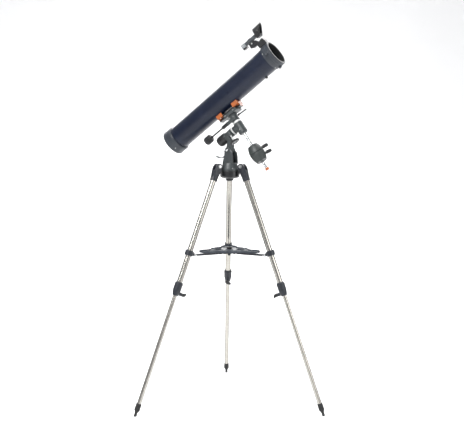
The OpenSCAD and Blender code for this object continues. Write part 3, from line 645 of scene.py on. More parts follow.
def leg_bracket(leg):
    node = leg + "_leg_bracket"
    cast(node, "bracket", 0.7, 4)
    b = Build(LEG_FRAMES[leg])
    for side in (-1, 1):
        for x in (-9.5, 9.5):
            b.box((x - 1.2, side * 16.2, -40), (x + 1.2, side * 17.6, -14))
        b.lathe(soft([(0, 0), (9.2, 0), (9.2, 1.2), (7.6, 1.9), (0, 1.9)], 0.5),
                at(0, side * 16.1, 0, spin(-90 * side, "X")))
    for z in (-64.5, -58.5):
        b.lathe(band(z, 16.4, 17.3, 1.4, 0.9), closed=True)
    b.piece(node + "_ribs", leg + "_leg", "bracket", bevel=0.35)
    s = Build(LEG_FRAMES[leg])
    cap_screw(s, at(16.2, 0, -61.5, spin(90, "Y")), 3.2, 3.0)
    s.piece(node + "_screw", leg + "_leg", "bolt")


def leg_tubes(leg):
    finish(leg + "_upper_leg", "leg")
    finish(leg + "_lower_leg", "leg")
    wiper = Build(LEG_FRAMES[leg])
    wiper.lathe(collar(LOWER_R + 0.2, LOWER_R + 2.2, -602.5, -600, 0.4), closed=True)
    wiper.piece(leg + "_wiper", leg + "_leg", "black", bevel=0.2)


def brace_clamp(leg):
    node = leg + "_brace_clamp"
    cast(node, "bracket", 0.6, 3)
    b = Build(LEG_FRAMES[leg])
    for z in (CLAMP_Z - 9.5, CLAMP_Z + 9.5):
        b.lathe(band(z, 18.2, 19.0, 1.2, 0.7), closed=True)
    b.box((17, -5, CLAMP_Z - 8), (20.5, 5, CLAMP_Z + 8))
    b.piece(node + "_bands", leg + "_leg", "bracket", bevel=0.4)
    s = Build(LEG_FRAMES[leg])
    cap_screw(s, at(20.2, 0, CLAMP_Z, spin(90, "Y")), 3.0, 1.6)
    for side in (-1, 1):
        s.lathe(soft([(0, 0), (4.2, 0), (4.2, 0.9), (3, 1.6), (0, 1.6)], 0.3),
                at(-25, side * 12.0, CLAMP_Z, spin(-90 * side, "X")))
    s.piece(node + "_rivets", leg + "_leg", "bolt")


def leg_lock(leg):
    node = leg + "_leg_lock"
    cast(node, "bracket", 0.7, 4)
    b = Build(LEG_FRAMES[leg])
    top = LOCK_TOP - 8
    b.lathe(collar(18.1, 19.4, top, top - 5, 0.8), closed=True)
    for i in range(5):
        turn = spin(60 + i * 60)
        b.box((17.9, -1.4, LOCK_TOP - 36), (19.2, 1.4, LOCK_TOP - 12), turn)
    b.piece(node + "_ribs", leg + "_leg", "bracket", bevel=0.4)


def lock_knob(leg):
    node = leg + "_lock_knob"
    z = LOCK_TOP - 50
    b = Build(shifted(LEG_FRAMES[leg], z=z))
    wing = []
    for side in (1, -1):
        a = math.degrees(math.atan2(5 * side, 11 * side))
        wing += arc(11 * side, 5 * side, 4.5, a - 78, a + 78, 12)
        wing += [(-3.6 * side, 6.4 * side)]
    b.prism(wing, -46, -38.2, CYCLE)
    b.lathe(soft([(0, 0), (8, 0), (8, 9), (6, 15), (0, 15)], 1.0), at(-27.3, 0, 0, spin(-90, "Y")))
    b.piece(node + "_wing", leg + "_lock", "black", fuse=0.5, soften=5)
    s = Build(shifted(LEG_FRAMES[leg], z=z))
    s.lathe(plug(3, 0, 22, 0.3), at(-LOWER_R - 0.4, 0, 0, spin(-90, "Y")))
    s.piece(node + "_screw", leg + "_lock", "bolt")
    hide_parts(node)


def foot(leg):
    node = leg + "_foot"
    finish(node, "rubber", 0.5)
    b = Build(LEG_FRAMES[leg])
    length = (place(leg + "_leg_fold").z / axis(leg + "_leg_slide").z) / MM
    for i in range(3):
        z = -length + 30 + i * 6
        b.lathe(band(z, 11.9, 12.7, 1.1, 0.5), closed=True)
    b.piece(node + "_rings", leg + "_lower", "rubber")


def brace_arm(leg):
    cast(leg + "_brace_arm", "bracket", 0.6, 3)


def tray():
    finish("accessory_tray", "tray", 0.8)
    finish("brace_hub", "bracket", 0.5)
    low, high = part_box("accessory_tray")
    z0 = low.z / MM
    b = Build(COLUMN)
    for k in range(3):
        turn = spin(-150 + 120 * k)
        for side in (-1, 1):
            b.box((24, side * 15 - 0.9, z0 + 2.5), (141, side * 15 + 0.9, z0 + 5.6), turn)
        b.box((102, -28, z0 + 2.5), (103.8, 28, z0 + 5.2), turn)
    b.lathe([(15.6, z0 + 6), (19.5, z0 + 2.6), (20.5, z0 + 2.6), (16.6, z0 + 7.4), (15.6, z0 + 7.4)],
            closed=True)
    b.piece("tray_dividers", "brace", "tray", bevel=0.5)
    k = Build(COLUMN)
    grip(k, at(0, 0, z0 + 7.6), 12, 11, 9)
    k.piece("tray_knob", "brace", "black")


def head():
    cast("tripod_head", "black", 0.9, 3)
    b = Build(COLUMN)
    for k in range(3):
        turn = spin(-90 + 120 * k)
        b.box((40, -7, 1031), (45.2, 7, 1047), turn)
    b.piece("head_pads", "tripod_hub", "black", bevel=1.0)


def hinge_bolts():
    b = Build(COLUMN)
    z = place("left_leg_fold").z / MM
    for k in range(3):
        for side in (-1, 1):
            local = spin(-150 + 120 * k) @ at(HINGE_R, side * 17.3, z, spin(-90 * side, "X"))
            b.lathe(plug(8, 0, 1.2, 0.3), local)
            hexagon(b, local, 11.4, 1.2, 5.6)
            b.lathe(soft([(0, 5), (3.4, 5), (3.4, 6.6), (2.6, 7.4), (0, 7.4)], 0.3), local)
    b.piece("hinge_bolts_heads", "tripod_hub", "bolt", bevel=0.2)
    finish("leg_hinge_bolts", "bolt", 0.2)


def azimuth_bolt():
    b = Build(COLUMN)
    grip(b, at(0, 0, 1026, spin(180, "X")), 17, 18, 12)
    b.lathe(plug(10, 1024, 1033.6, 0.8))
    b.piece("azimuth_knob", "azimuth_clamp", "black", replaces=["azimuth_bolt"])
    s = Build(COLUMN)
    s.lathe(plug(8, 1033, 1072, 0.6))
    s.piece("azimuth_stud", "azimuth_clamp", "bolt")


for leg in LEGS:
    leg_bracket(leg)
    leg_tubes(leg)
    brace_clamp(leg)
    leg_lock(leg)
    lock_knob(leg)
    foot(leg)
    brace_arm(leg)
tray()
head()
hinge_bolts()
azimuth_bolt()


# ---------- Equatorial mount ----------

DEC_WORM = (-24.0, 36.0)
RA_WORM = (-51.0, -22.0)


def ticks(build, local, r, z0, z1, count, every, width, slot=0, proud=0.18):
    """Engraved-looking scale marks round a dial: long ones every few, short ones between."""
    for i in range(count):
        top = z1 if i % every == 0 else z0 + (z1 - z0) * 0.5
        turn = local @ spin(360 * i / count)
        build.box((r - 0.3, -width / 2, z0), (r + proud, width / 2, top), turn, slot)


def azimuth_base():
    cast("azimuth_base", "mount", 0.8, 4)
    b = Build(BASE)
    drop = -BASE.translation.z / MM
    for side in (-1, 1):
        b.box((-12, side * 26.2, drop + 1092), (20, side * 28.0, drop + 1096))
        b.lathe(soft([(0, 0), (11.5, 0), (11.5, 1.3), (10, 2), (0, 2)], 0.5),
                at(0, side * 25.8, 0, spin(-90 * side, "X")))
    b.lathe([(42.2, drop + 1054), (43.2, drop + 1054.6), (43.2, drop + 1058), (42.2, drop + 1058.8)],
            closed=True)
    b.piece("azimuth_base_trim", "azimuth_turntable", "mount", bevel=0.4)
    s = Build(BASE)
    for i in range(4):
        a = 45 + 90 * i
        cap_screw(s, spin(a) @ at(41.2, 0, drop + 1063, spin(68, "Y")), 2.6, 2.0)
    s.piece("azimuth_base_screws", "azimuth_turntable", "bolt")


def latitude_lock():
    b = Build(BASE)
    cap = [(0, 0), (7, 0), (7, 5), (6.2, 9), (4, 12), (3, 14), (3, 22), (0, 22)]
    b.lathe(soft(cap, 0.7), at(0, -27.3, 0, spin(90, "X")))
    handle = spin(-25, "Y")
    b.pipe([(-24, -46.3, 0), (12, -46.3, 0)], 2, handle)
    for x in (-25, 13):
        b.lathe(arc(0, 0, 3.1, -90, 90, 10), handle @ at(x, -46.3, 0, spin(90, "Y")))
    b.lathe(plug(4, 0, 64, 0.4), at(0, -37, 0, spin(-90, "X")))
    b.lathe(collar(4.1, 8.6, 0, 1, 0.2), at(0, 27.1, 0, spin(-90, "X")), closed=True)
    hexagon(b, at(0, 28.2, 0, spin(-90, "X")), 12.6, 0, 5.2)
    b.piece("latitude_lock_bolt", "latitude_clamp", "chrome", replaces=["latitude_lock"])


def latitude_screw():
    b = Build(shifted(BASE, z=-30))
    thread = [(0, -66)]
    for i in range(38):
        thread += [(3.0, -65.5 + i * 1.5), (2.55, -64.75 + i * 1.5)]
    b.lathe(thread + [(3, -8.4), (2.4, -8), (0, -8)], ALONG_X, 40)
    bar = at(-64, 0, 0, spin(70, "X"))
    b.pipe([(0, 0, -15), (0, 0, 15)], 2, bar)
    for z in (-15, 15):
        b.lathe(arc(0, z, 2.9, -90, 90, 10), bar)
    b.lathe(soft([(0, -67), (5, -67), (5, -60), (3.4, -58), (0, -58)], 0.6), ALONG_X)
    b.piece("latitude_t_bolt", "latitude_push", "chrome", replaces=["latitude_screw"])


def polar_housing():
    cast("polar_housing", "mount", 0.8, 4)
    b = Build(POLAR)
    b.lathe([(18.6, -46), (20.3, -45.2), (20.3, -40.2), (18.6, -39.6)], ALONG_X, closed=True)
    b.lathe([(18.6, -84), (20.0, -83.2), (20.0, -80), (18.6, -79)], ALONG_X, closed=True)
    b.piece("polar_housing_bands", "polar_head", "mount", bevel=0.3)
    s = Build(POLAR)
    for a in (40, 160, 280):
        cap_screw(s, spin(a, "X") @ at(-74, 0, 18.4), 2.8, 2.2)
    cap_screw(s, at(RA_WORM[0], RA_WORM[1], 5.2), 4.0, 1.8)
    s.piece("polar_housing_screws", "polar_head", "bolt")


def polar_cap():
    b = Build(POLAR)
    rim = soft([(0, -128.2), (12, -128.2), (13, -129), (17, -129), (21.4, -125.4), (24, -117), (24, -86.2),
                (23, -85), (22, -85), (22, -116), (19, -124), (0, -126)],
               1.2)
    b.lathe(rim, ALONG_X, 144)
    for x in (-112, -93):
        b.lathe(band(x, 23.6, 24.4, 1, 0.4), ALONG_X, 96, closed=True)
    b.piece("polar_cap_shell", "polar_head", "black", replaces=["polar_cap"])


def setting_circles():
    ring = soft([(17.1, 0), (21.9, 0), (22.5, 0.6), (22.5, 4.9), (21.9, 5.5), (17.1, 5.5)], 0.4)
    b = Build(POLAR)
    ra = at(-37.5, 0, 0, spin(90, "Y"))
    b.lathe(ring, ra, 144, closed=True)
    ticks(b, ra, 22.5, 1.0, 4.2, 72, 6, 0.42, 1)
    dec = at(0, 0, 17.2)
    b.lathe(soft([(16.1, 0), (19.1, 0), (19.5, 0.5), (19.5, 8.1), (19.1, 8.6), (16.1, 8.6)], 0.4), dec,
            144, closed=True)
    ticks(b, dec, 19.5, 1.2, 6.0, 72, 6, 0.42, 1)
    b.piece("setting_circle_dials", "ra_body", ("dial", "mark"), replaces=["setting_circles"])


def ra_wheel():
    b = Build(shifted(POLAR, RA_WORM[0], RA_WORM[1]))
    grip(b, at(0, 0, -43, spin(180, "X")), 23, 10, 20)
    b.lathe(plug(8, -44, -40.4, 0.5))
    b.piece("ra_wheel_grip", "ra_wheel", "black", replaces=["ra_slow_motion"])
    s = Build(shifted(POLAR, RA_WORM[0], RA_WORM[1]))
    s.lathe(plug(4, -42, -4, 0.4))
    cap_screw(s, at(0, 0, -51.8, spin(180, "X")), 4.2, 1.2)
    s.piece("ra_worm_shaft", "ra_wheel", "bolt")


def dec_housing():
    cast("dec_housing", "mount", 0.8, 4)
    b = Build(POLAR)
    for z in (-30, 10):
        b.lathe(band(z, 19.6, 20.9, 1.6, 0.8), None, 96, closed=True)
    b.piece("dec_housing_bands", "ra_body", "mount")
    s = Build(POLAR)
    s.lathe(collar(6.1, 11, -38.2, -40.2, 0.5), None, 64, closed=True)
    for a in (30, 150, 270):
        cap_screw(s, spin(a) @ at(19.2, 0, -20, spin(90, "Y")), 2.6, 1.8)
    s.piece("dec_housing_screws", "ra_body", "bolt")


def dec_head():
    cast("dec_head", "mount", 0.8, 4)
    b = Build(POLAR)
    b.lathe([(18.2, 29), (19.3, 29.6), (19.3, 31.4), (18.2, 32)], None, 96, closed=True)
    b.lathe(collar(3.2, 8.6, 0, 2.4, 0.5),
            at(-31.6, DEC_WORM[0], DEC_WORM[1], spin(90, "Y")), closed=True)
    b.piece("dec_head_bands", "dec_body", "mount")
    s = Build(POLAR)
    for a in (60, 120):
        cap_screw(s, spin(a) @ at(18.3, 0, 48, spin(90, "Y")), 2.6, 1.8)
    cap_screw(s, at(12, DEC_WORM[0], DEC_WORM[1], spin(90, "Y")), 4.5, 1.5)
    s.piece("dec_head_screws", "dec_body", "bolt")


def dec_lever():
    b = Build(shifted(POLAR, z=44))
    arm = at(22, 0, 0, spin(4, "Y"))
    b.lathe(soft([(0, 0), (4.6, 0), (4.6, 7), (3.2, 10), (2.5, 26), (2.9, 50), (0, 50)], 1.0),
            arm @ spin(90, "Y"), 40)
    b.lathe(soft([(0, 49.6), (3.6, 49.6), (4.1, 52), (3.6, 55.5), (2, 56.4), (0, 56.4)], 0.8),
            arm @ spin(90, "Y"), 40, 1)
    b.lathe(plug(3, 0, 14, 0.3), at(9, 0, 0, spin(90, "Y")), 32, 2)
    b.piece("dec_lever_arm", "dec_lever", ("black", "dial", "bolt"), replaces=["dec_lock_lever"])


def dec_knob():
    frame_here = shifted(POLAR, y=DEC_WORM[0], z=DEC_WORM[1])
    b = Build(frame_here)
    ferrule = [(0, -66), (5.2, -66), (8, -62.5)]
    for i in range(5):
        x = -60 + i * 4.6
        ferrule += [(8, x), (7.3, x + 0.7), (8, x + 1.4)]
    b.lathe(ferrule + [(8, -33), (7.2, -32), (0, -32)], ALONG_X, 64)
    coil = []
    for i in range(50):
        coil += [(3.6, -133 + i * 1.4), (3.2, -132.3 + i * 1.4)]
    b.lathe([(0, -134)] + coil + [(0, -60)], ALONG_X, 32)
    grip(b, at(-133, 0, 0, spin(-90, "Y")), 19, 37, 14, dish=2.0)
    b.lathe(soft([(0, 0), (6.4, 0), (6.4, 5), (4, 7.5), (0, 7.5)], 0.8), at(-133.5, 0, 0, spin(90, "Y")),
            48)
    b.piece("dec_slow_motion_grip", "dec_knob", "black", replaces=["dec_slow_motion"])
    s = Build(frame_here)
    s.lathe(plug(3, -34, 5.6, 0.4), ALONG_X, 32)
    s.lathe(plug(4.4, 0, 1.5, 0.3), at(-66, 0, 0, spin(-90, "Y")), 32)
    s.piece("dec_worm_shaft", "dec_knob", "bolt")


def saddle():
    cast("saddle", "mount", 0.6, 3)
    s = Build(POLAR)
    for x in (-22, 26):
        s.lathe(soft([(0, 0), (4.6, 0), (4.6, 5), (3.6, 6), (0, 6)], 0.5), at(x, 25.4, 70, spin(-90, "X")),
                32)
        cap_screw(s, at(x, -25.6, 70, spin(90, "X")), 3.4, 2.6)
    s.piece("saddle_screws", "dec_body", "bolt")


def counterweights():
    seam = -151.0
    for name, sign in (("upper", 1), ("lower", -1)):
        flank = [(23 + 11 * math.cos(math.radians(84 * i / 14)), 2.6 + 38.4 * i / 14) for i in range(15)]
        shape = [(6.05, 0.1), (31.4, 0.1), (33.8, 1.7)] + flank + [(21.6, 41.0), (20.4, 41.0)]
        shape += [(19.6, 40.2), (9.5, 40.2), (8.8, 41.0), (6.05, 41.0)]
        b = Build(shifted(POLAR, z=seam))
        b.lathe([(r, z * sign) for r, z in soft(shape, 0.6, 3)], None, 128, closed=True)
        b.piece(name + "_weight_body", name + "_weight", "weight",
                replaces=[name + "_counterweight"], angle=50)
        k = Build(shifted(turned(shifted(POLAR, z=seam), 38, "Z"), z=15 * sign))
        k.lathe(plug(4, 0, 34, 0.3), at(6.4, 0, 0, spin(90, "Y")), 32, 1)
        k.lathe(plug(6, 0, 3, 0.4), at(33, 0, 0, spin(90, "Y")), 32)
        grip(k, at(35, 0, 0, spin(90, "Y")), 8.2, 28, 10)
        k.piece(name + "_weight_grip", name + "_weight_clamp", ("black", "bolt"),
                replaces=[name + "_weight_knob"])


def shaft_and_stop():
    finish("counterweight_shaft", "chrome")
    b = Build(POLAR)
    b.lathe(soft([(0, -240), (6.4, -240), (9, -237.6), (9, -231), (7.5, -228), (6.1, -228), (6.1, -232),
                  (0, -232)], 0.9), None, 64)
    for i in range(12):
        b.box((8.7, -0.7, -237), (9.25, 0.7, -231.5), spin(30 * i))
    b.piece("safety_stop", "ra_body", "orange", replaces=["safety_cap"])


azimuth_base()
latitude_lock()
latitude_screw()
polar_housing()
polar_cap()
setting_circles()
ra_wheel()
dec_housing()
dec_head()
dec_lever()
dec_knob()
saddle()
counterweights()
shaft_and_stop()


# ---------- Optical tube ----------

TUBE_R = 54.5
HALF = TUBE_LEN / 2
BAR_MIDDLE = 33.0


def recolour(obj, here, key, test):
    """Gives the faces whose centre in the frame here (mm) passes test another material."""
    obj.data.materials.append(M[key])
    index = len(obj.data.materials) - 1
    inverse = here.inverted()
    for p in obj.data.polygons:
        if test(inverse @ p.center / MM, inverse.to_3x3() @ p.normal):
            p.material_index = index


def main_tube():
    tube = finish("main_tube", "tube")
    recolour(tube, TUBE, "lining", lambda c, n: math.hypot(c.y, c.z) < TUBE_R - 0.8)
    b = Build(TUBE)
    for x in (-278.6, 287.4):
        b.lathe([(TUBE_R - 0.2, x - 0.5), (TUBE_R + 0.35, x - 0.3), (TUBE_R + 0.35, x + 0.3),
                 (TUBE_R - 0.2, x + 0.5)],
                ALONG_X, 128, closed=True)
    b.piece("tube_end_beads", "dec_body", "ring")


def tube_screws():
    b = Build(TUBE)
    for a in (90, 180, 270):
        here = spin(a, "X") @ at(HALF - 24, 0, 58.6)
        b.lathe(soft([(0, 0), (6.2, 0), (6.2, 1.4), (5.2, 2), (5.2, 7.6), (4.2, 8.4), (0, 8.4)], 0.5),
                here, 80, 0,
                (20, 0.35, 2.2, 7.4))
    b.piece("tube_thumb_screws", "dec_body", "ring", bevel=0.15)
    n = Build(TUBE)
    stalk = spin(180, "X") @ at(HALF - 99, 0, TUBE_R - 0.2)
    n.lathe(soft([(0, 0), (6.4, 0), (6.4, 1.4), (5.2, 2), (5.2, 7), (4.2, 8), (0, 8)], 0.4), stalk, 96, 0,
            (16, 0.35, 2.2, 6.8))
    n.piece("spider_stalk_nut", "dec_body", "black")
    s = Build(TUBE)
    for a in (45, 135, 225, 315):
        cap_screw(s, spin(a, "X") @ at(-HALF + 22, 0, 60.6), 2.8, 1.4)
        cap_screw(s, spin(a + 30, "X") @ at(HALF - 38, 0, 57.2), 2.2, 1.2)
    s.piece("tube_end_screws", "dec_body", "bolt")


def front_ring():
    ring = finish("front_ring", "ring", 0.5)
    recolour(ring, TUBE, "lining", lambda c, n: math.hypot(c.y, c.z) < TUBE_R - 2.5 and n.x < 0.7)
    recolour(ring, TUBE, "black", lambda c, n: n.x > 0.5 and c.x > HALF - 3)
    b = Build(TUBE)
    for x in (303, 311):
        b.lathe(band(x, 58.7, 59.5, 1, 0.4), ALONG_X, 144, closed=True)
    b.piece("front_ring_lines", "dec_body", "ring")


def rear_cell():
    finish("rear_cell", "ring", 1.0)
    b = Build(TUBE)
    for x in (-319, -288):
        b.lathe(band(x, 60.7, 61.6, 1.2, 0.5), ALONG_X, 144, closed=True)
    for i in range(12):
        if i % 4:
            b.box((-HALF - 0.7, -1.2, 34), (-HALF + 1, 1.2, 53), spin(30 * i, "X"))
    b.lathe([(32.6, -HALF - 1.1), (34.4, -HALF - 1.1), (34.8, -HALF + 0.5), (32.2, -HALF + 0.5)], ALONG_X,
            96, closed=True)
    b.piece("rear_cell_ribs", "dec_body", "ring", bevel=0.3)
    s = Build(TUBE)
    for a in (0, 120, 240):
        cap_screw(s, spin(a, "X") @ at(-HALF - 5.4, 0, 28, spin(-90, "Y")), 3.6, 1.6)
        cap_screw(s, spin(a + 25, "X") @ at(-HALF + 0.6, 0, 28, spin(-90, "Y")), 2.6, 2.0)
    s.piece("rear_cell_screws", "dec_body", "bolt")


def optics():
    finish("primary_mirror", "mirror", 0.3)
    finish("spider", "black", 0.15)
    second = finish("secondary_mirror", "black", 0.15)
    recolour(second, FOCUSER, "mirror", lambda c, n: n.z > 0.5 and n.x < -0.5)


def dovetail():
    bar = finish("dovetail_bar", "orange", 0.9)
    recolour(bar, TUBE, "black", lambda c, n: abs(c.x) < BAR_MIDDLE or abs(c.y) < 12.6 and n.z < -0.5)
    s = Build(TUBE)
    for x in (-47, 47):
        for y in (-19.2, 19.2):
            cap_screw(s, at(x, y, -67.6, spin(180, "X")), 3.0, 1.4)
    for x in (-14, 14):
        s.lathe(plug(4, 0, 1.1, 0.3), at(x, 0, -60.7), 32)
    s.piece("dovetail_screws", "dec_body", "bolt")
    b = Build(TUBE)
    for side in (-1, 1):
        b.box((-27, side * 12.3 - 0.5, -66.4), (27, side * 12.3 + 0.5, -64.6))
    b.piece("dovetail_lips", "dec_body", "black", bevel=0.25)
    return bar


def focuser():
    cast("focuser_body", "ring", 0.7, 4)
    b = Build(FOCUSER)
    for z in (104, 76):
        b.lathe([(23.1, z - 1.2), (24.3, z - 0.5), (24.3, z + 1.2), (23.1, z + 2)], None, 96, closed=True)
    b.lathe(collar(18.3, 21.5, 106.5, 109.6, 0.6), None, 96, closed=True)
    b.box((-37.5, -15, 84), (-32.8, 15, 95.5))
    b.piece("focuser_body_trim", "dec_body", "ring", bevel=0.5)
    s = Build(FOCUSER)
    for x in (-25, 25):
        for y in (-21, 21):
            cap_screw(s, at(x, y, 66.6), 2.6, 1.8)
    s.lathe(soft([(0, 0), (5, 0), (5, 6), (4, 7), (0, 7)], 0.5), at(-25, 0, 98), 64, 0, (16, 0.35, 1, 6))
    s.piece("focuser_body_screws", "dec_body", "bolt")


def drawtube():
    b = Build(FOCUSER)
    b.lathe([(15.93, 68), (17.9, 68), (18, 68.4), (18, 137.6), (15.93, 137.6)], None, 96, closed=True)
    b.lathe(soft([(15.93, 137.4), (20.2, 137.4), (21, 138.4), (21, 141), (20.3, 141.6), (20.3, 148.4),
                  (21, 149),
                  (21, 151.2), (20.2, 152), (15.93, 152)], 0.4), None, 96, closed=True)
    rack = spin(180)
    for i in range(34):
        b.box((17.6, -3, 72 + 1.6 * i), (18.0, 3, 72.8 + 1.6 * i), rack)
    b.piece("drawtube_body", "focus_tube", "chrome", replaces=["drawtube"], bevel=0.15)
    k = Build(FOCUSER)
    screw = at(0, 0, 145, spin(60)) @ spin(90, "Y")
    k.lathe(plug(3, 20, 25, 0.3), screw, 32)
    k.lathe(soft([(0, 24), (5.4, 24), (6, 25), (6, 30.8), (5.4, 32), (0, 32)], 0.5), screw, 120, 0,
            (20, 0.4, 25, 31))
    k.piece("drawtube_set_screw", "focus_tube", "black")


def focus_knobs():
    here = shifted(FOCUSER, x=-25, z=88)
    b = Build(here)
    for side in (-1, 1):
        grip(b, at(0, side * 24, 0, spin(-90 * side, "X")), 15, 13, 18, dish=1.8)
        b.lathe(plug(5, 0, 1.6, 0.4), at(0, side * 35.2, 0, spin(-90 * side, "X")), 48)
    b.piece("focus_knob_grips", "focus_shaft", "black", replaces=["focus_knobs"])
    s = Build(here)
    s.lathe(plug(3, -33, 33, 0.3), ALONG_Y, 32)
    s.piece("focus_pinion_shaft", "focus_shaft", "bolt")


def eyepiece():
    z = 152.3
    b = Build(FOCUSER)
    shell = [(13, z - 24), (15.87, z - 24), (15.87, z), (18.6, z), (20.6, z + 3), (21, z + 8),
             (21, z + 24), (22, z + 26),
             (22, z + 50), (21, z + 53), (20.4, z + 56), (18, z + 61.6), (13.5, z + 62), (11.4, z + 60.4),
             (7.6, z + 56.5), (7, z + 50), (7, z - 22)]
    b.lathe(soft(shell, 0.8), None, 96, closed=True)
    for i in range(30):
        b.box((21.6, -1.3, z + 29), (22.4, 1.3, z + 47), spin(12 * i))
    b.piece("eyepiece_shell", "ocular", "black", replaces=["eyepiece"], bevel=0.3)
    g = Build(FOCUSER)
    lens = [(0, z + 54.4), (4, z + 53.9), (7.4, z + 52.6), (7.4, z + 50.5), (0, z + 50.5)]
    g.lathe(lens, None, 64)
    g.piece("eyepiece_lens", "ocular", "mirror", angle=50)
    c = Build(FOCUSER)
    c.lathe(collar(15.2, 15.95, z - 23.8, z - 0.2, 0.1), None, 96, closed=True)
    c.lathe(collar(20.6, 21.5, z + 22.2, z + 24, 0.2), None, 96, closed=True)
    c.piece("eyepiece_barrel", "ocular", "chrome")


def side_knob(build, x, z, r, deep):
    """A fluted knob on the near side of the finder, standing off the face at y -17."""
    profile = soft([(0, 0), (r, 0), (r, deep), (r * 0.8, deep + 0.8), (0, deep + 0.8)], 0.5)
    build.lathe(profile, at(x, -17, z, spin(90, "X")), 120, 0, (20, 0.35, 0.4, deep - 0.2))


def finder():
    cast("finder_base", "black", 0.6, 4)
    shell = cast("finder", "grey", 0.55, 4)
    recolour(shell, FINDER, "pale", lambda c, n: c.x < -86.5 and c.z > 105)
    recolour(shell, FINDER, "black", lambda c, n: c.x > -30 and c.z > 97 or c.x < -86.5 and c.z <= 105)
    b = Build(FINDER)
    for side in (-1, 1):
        b.box((-84, side * 11.1 - 0.5, 109), (-40, side * 11.1 + 0.5, 110.2))
        b.box((-84, side * 11.1 - 0.5, 117), (-40, side * 11.1 + 0.5, 118.2))
        b.box((-105, side * 13.1 - 0.4, 104.4), (-88, side * 13.1 + 0.4, 105.6))
    side_knob(b, -9, 119, 8.2, 4.0)
    b.lathe(soft([(0, 0), (7.4, 0), (7.4, 2.4), (6.4, 3.2), (0, 3.2)], 0.4), at(-62, 0, 120.6), 120, 0,
            (18, 0.3, 0.4, 2.2))
    b.lathe(plug(6.6, 0, 1.6, 0.5), at(-106.8, 0, 112, spin(-90, "Y")), 64)
    b.piece("finder_trim", "finder_unit", "black", bevel=0.3)
    s = Build(FINDER)
    for x, z in ((-60, 98), (-98, 116)):
        s.lathe(plug(3.4, 0, 1.0, 0.3), at(x, -12.4 if x > -90 else -12.8, z, spin(90, "X")), 48)
    s.piece("finder_rivets", "finder_unit", "bolt")
    g = Build(FINDER)
    dome = [(0, -12.8), (7, -13.1), (12.5, -13.7), (14.8, -14.2), (14.8, -14.9), (0, -14.2)]
    g.lathe(dome, at(0, 0, 127.5, spin(90, "Y")), 96)
    g.piece("finder_window", "finder_unit", "lens", angle=60)


main_tube()
tube_screws()
front_ring()
rear_cell()
optics()
dovetail()
focuser()
drawtube()
focus_knobs()
eyepiece()
finder()


# ---------- Floor, lights and camera ----------

FLOOR_TONE = (0.93, 0.93, 0.925, 1.0)
CAMERA_AT = Vector((-89, -3784.75, 1140)) * MM
CAMERA_HEADING = 88.436
CAMERA_DROP = 4.656
CAMERA_ROLL = 0.379
LENS_MM = 63.11


def floor():
    s = Shader("floor_paper")
    s.set(Base_Color=s.mix(s.ramp(s.noise(400, 2), 0.3, 0.7), FLOOR_TONE, shade(FLOOR_TONE, 1.03)),
          Roughness=0.9)
    bm = bmesh.new()
    profile = [(-6, 0), (3.0, 0)] + [(3.0 + 1.5 * math.sin(math.radians(a)),
                                      1.5 - 1.5 * math.cos(math.radians(a)))
                                     for a in range(6, 91, 6)] + [(4.5, 7)]
    rows = [[bm.verts.new((x, y, z)) for y, z in profile] for x in (-9, 9)]
    for i in range(len(profile) - 1):
        bm.faces.new((rows[0][i], rows[1][i], rows[1][i + 1], rows[0][i + 1])).smooth = True
    mesh = bpy.data.meshes.new("floor")
    bm.to_mesh(mesh)
    bm.free()
    mesh.materials.append(s.mat)
    obj = bpy.data.objects.new("floor", mesh)
    bpy.context.scene.collection.objects.link(obj)


def area(name, where, look_at, size, power, height=None):
    data = bpy.data.lights.new(name, "AREA")
    data.energy = power
    data.size = size
    if height:
        data.shape = "RECTANGLE"
        data.size_y = height
    obj = bpy.data.objects.new(name, data)
    obj.location = where
    obj.rotation_euler = (Vector(look_at) - Vector(where)).to_track_quat("-Z", "Y").to_euler()
    bpy.context.scene.collection.objects.link(obj)
    return obj


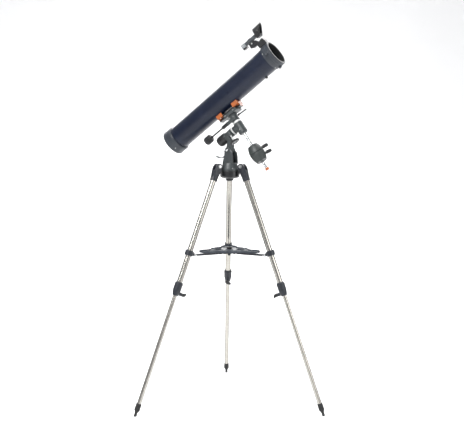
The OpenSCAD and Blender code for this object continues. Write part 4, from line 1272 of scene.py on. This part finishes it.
def world():
    w = bpy.data.worlds.new("studio")
    w.use_nodes = True
    tree = w.node_tree
    background = tree.nodes["Background"]
    coords = tree.nodes.new("ShaderNodeTexCoord")
    split = tree.nodes.new("ShaderNodeSeparateXYZ")
    tree.links.new(coords.outputs["Generated"], split.inputs[0])
    ramp = tree.nodes.new("ShaderNodeValToRGB")
    ramp.color_ramp.elements[0].position = 0.35
    ramp.color_ramp.elements[0].color = (0.30, 0.30, 0.31, 1)
    ramp.color_ramp.elements[1].position = 0.75
    ramp.color_ramp.elements[1].color = (0.95, 0.96, 1.0, 1)
    shift = tree.nodes.new("ShaderNodeMapRange")
    shift.inputs["From Min"].default_value = -1
    tree.links.new(split.outputs["Z"], shift.inputs["Value"])
    tree.links.new(shift.outputs[0], ramp.inputs[0])
    tree.links.new(ramp.outputs[0], background.inputs[0])
    background.inputs[1].default_value = 0.66
    bpy.context.scene.world = w


def camera():
    heading, drop = math.radians(CAMERA_HEADING), math.radians(CAMERA_DROP)
    forward = Vector((math.cos(heading) * math.cos(drop), math.sin(heading) * math.cos(drop),
                      -math.sin(drop)))
    right = forward.cross(Vector((0, 0, 1))).normalized()
    up = right.cross(forward)
    roll = math.radians(CAMERA_ROLL)
    x = math.cos(roll) * right + math.sin(roll) * up
    data = bpy.data.cameras.new("camera")
    data.sensor_width = 36
    data.lens = LENS_MM
    data.clip_end = 50
    obj = bpy.data.objects.new("camera", data)
    obj.matrix_world = frame_of(CAMERA_AT, x, (-forward).cross(x), -forward)
    bpy.context.scene.collection.objects.link(obj)
    bpy.context.scene.camera = obj


floor()
world()
bpy.context.scene.view_settings.view_transform = "Standard"
bpy.context.scene.view_settings.look = "None"
area("key", (-1.6, -2.4, 3.2), (0, 0, 1.2), 1.6, 95)
area("fill", (2.6, -2.2, 1.6), (0, 0, 1.1), 1.8, 38)
area("top", (0.2, 0.4, 3.4), (0, 0, 1.2), 2.2, 60)
area("back", (0.0, 2.6, 2.2), (0, 1.8, 0.2), 3.0, 120)
area("strip", (-1.9, -2.6, 2.5), (-0.1, 0.0, 1.45), 0.12, 26, 1.6)
camera()
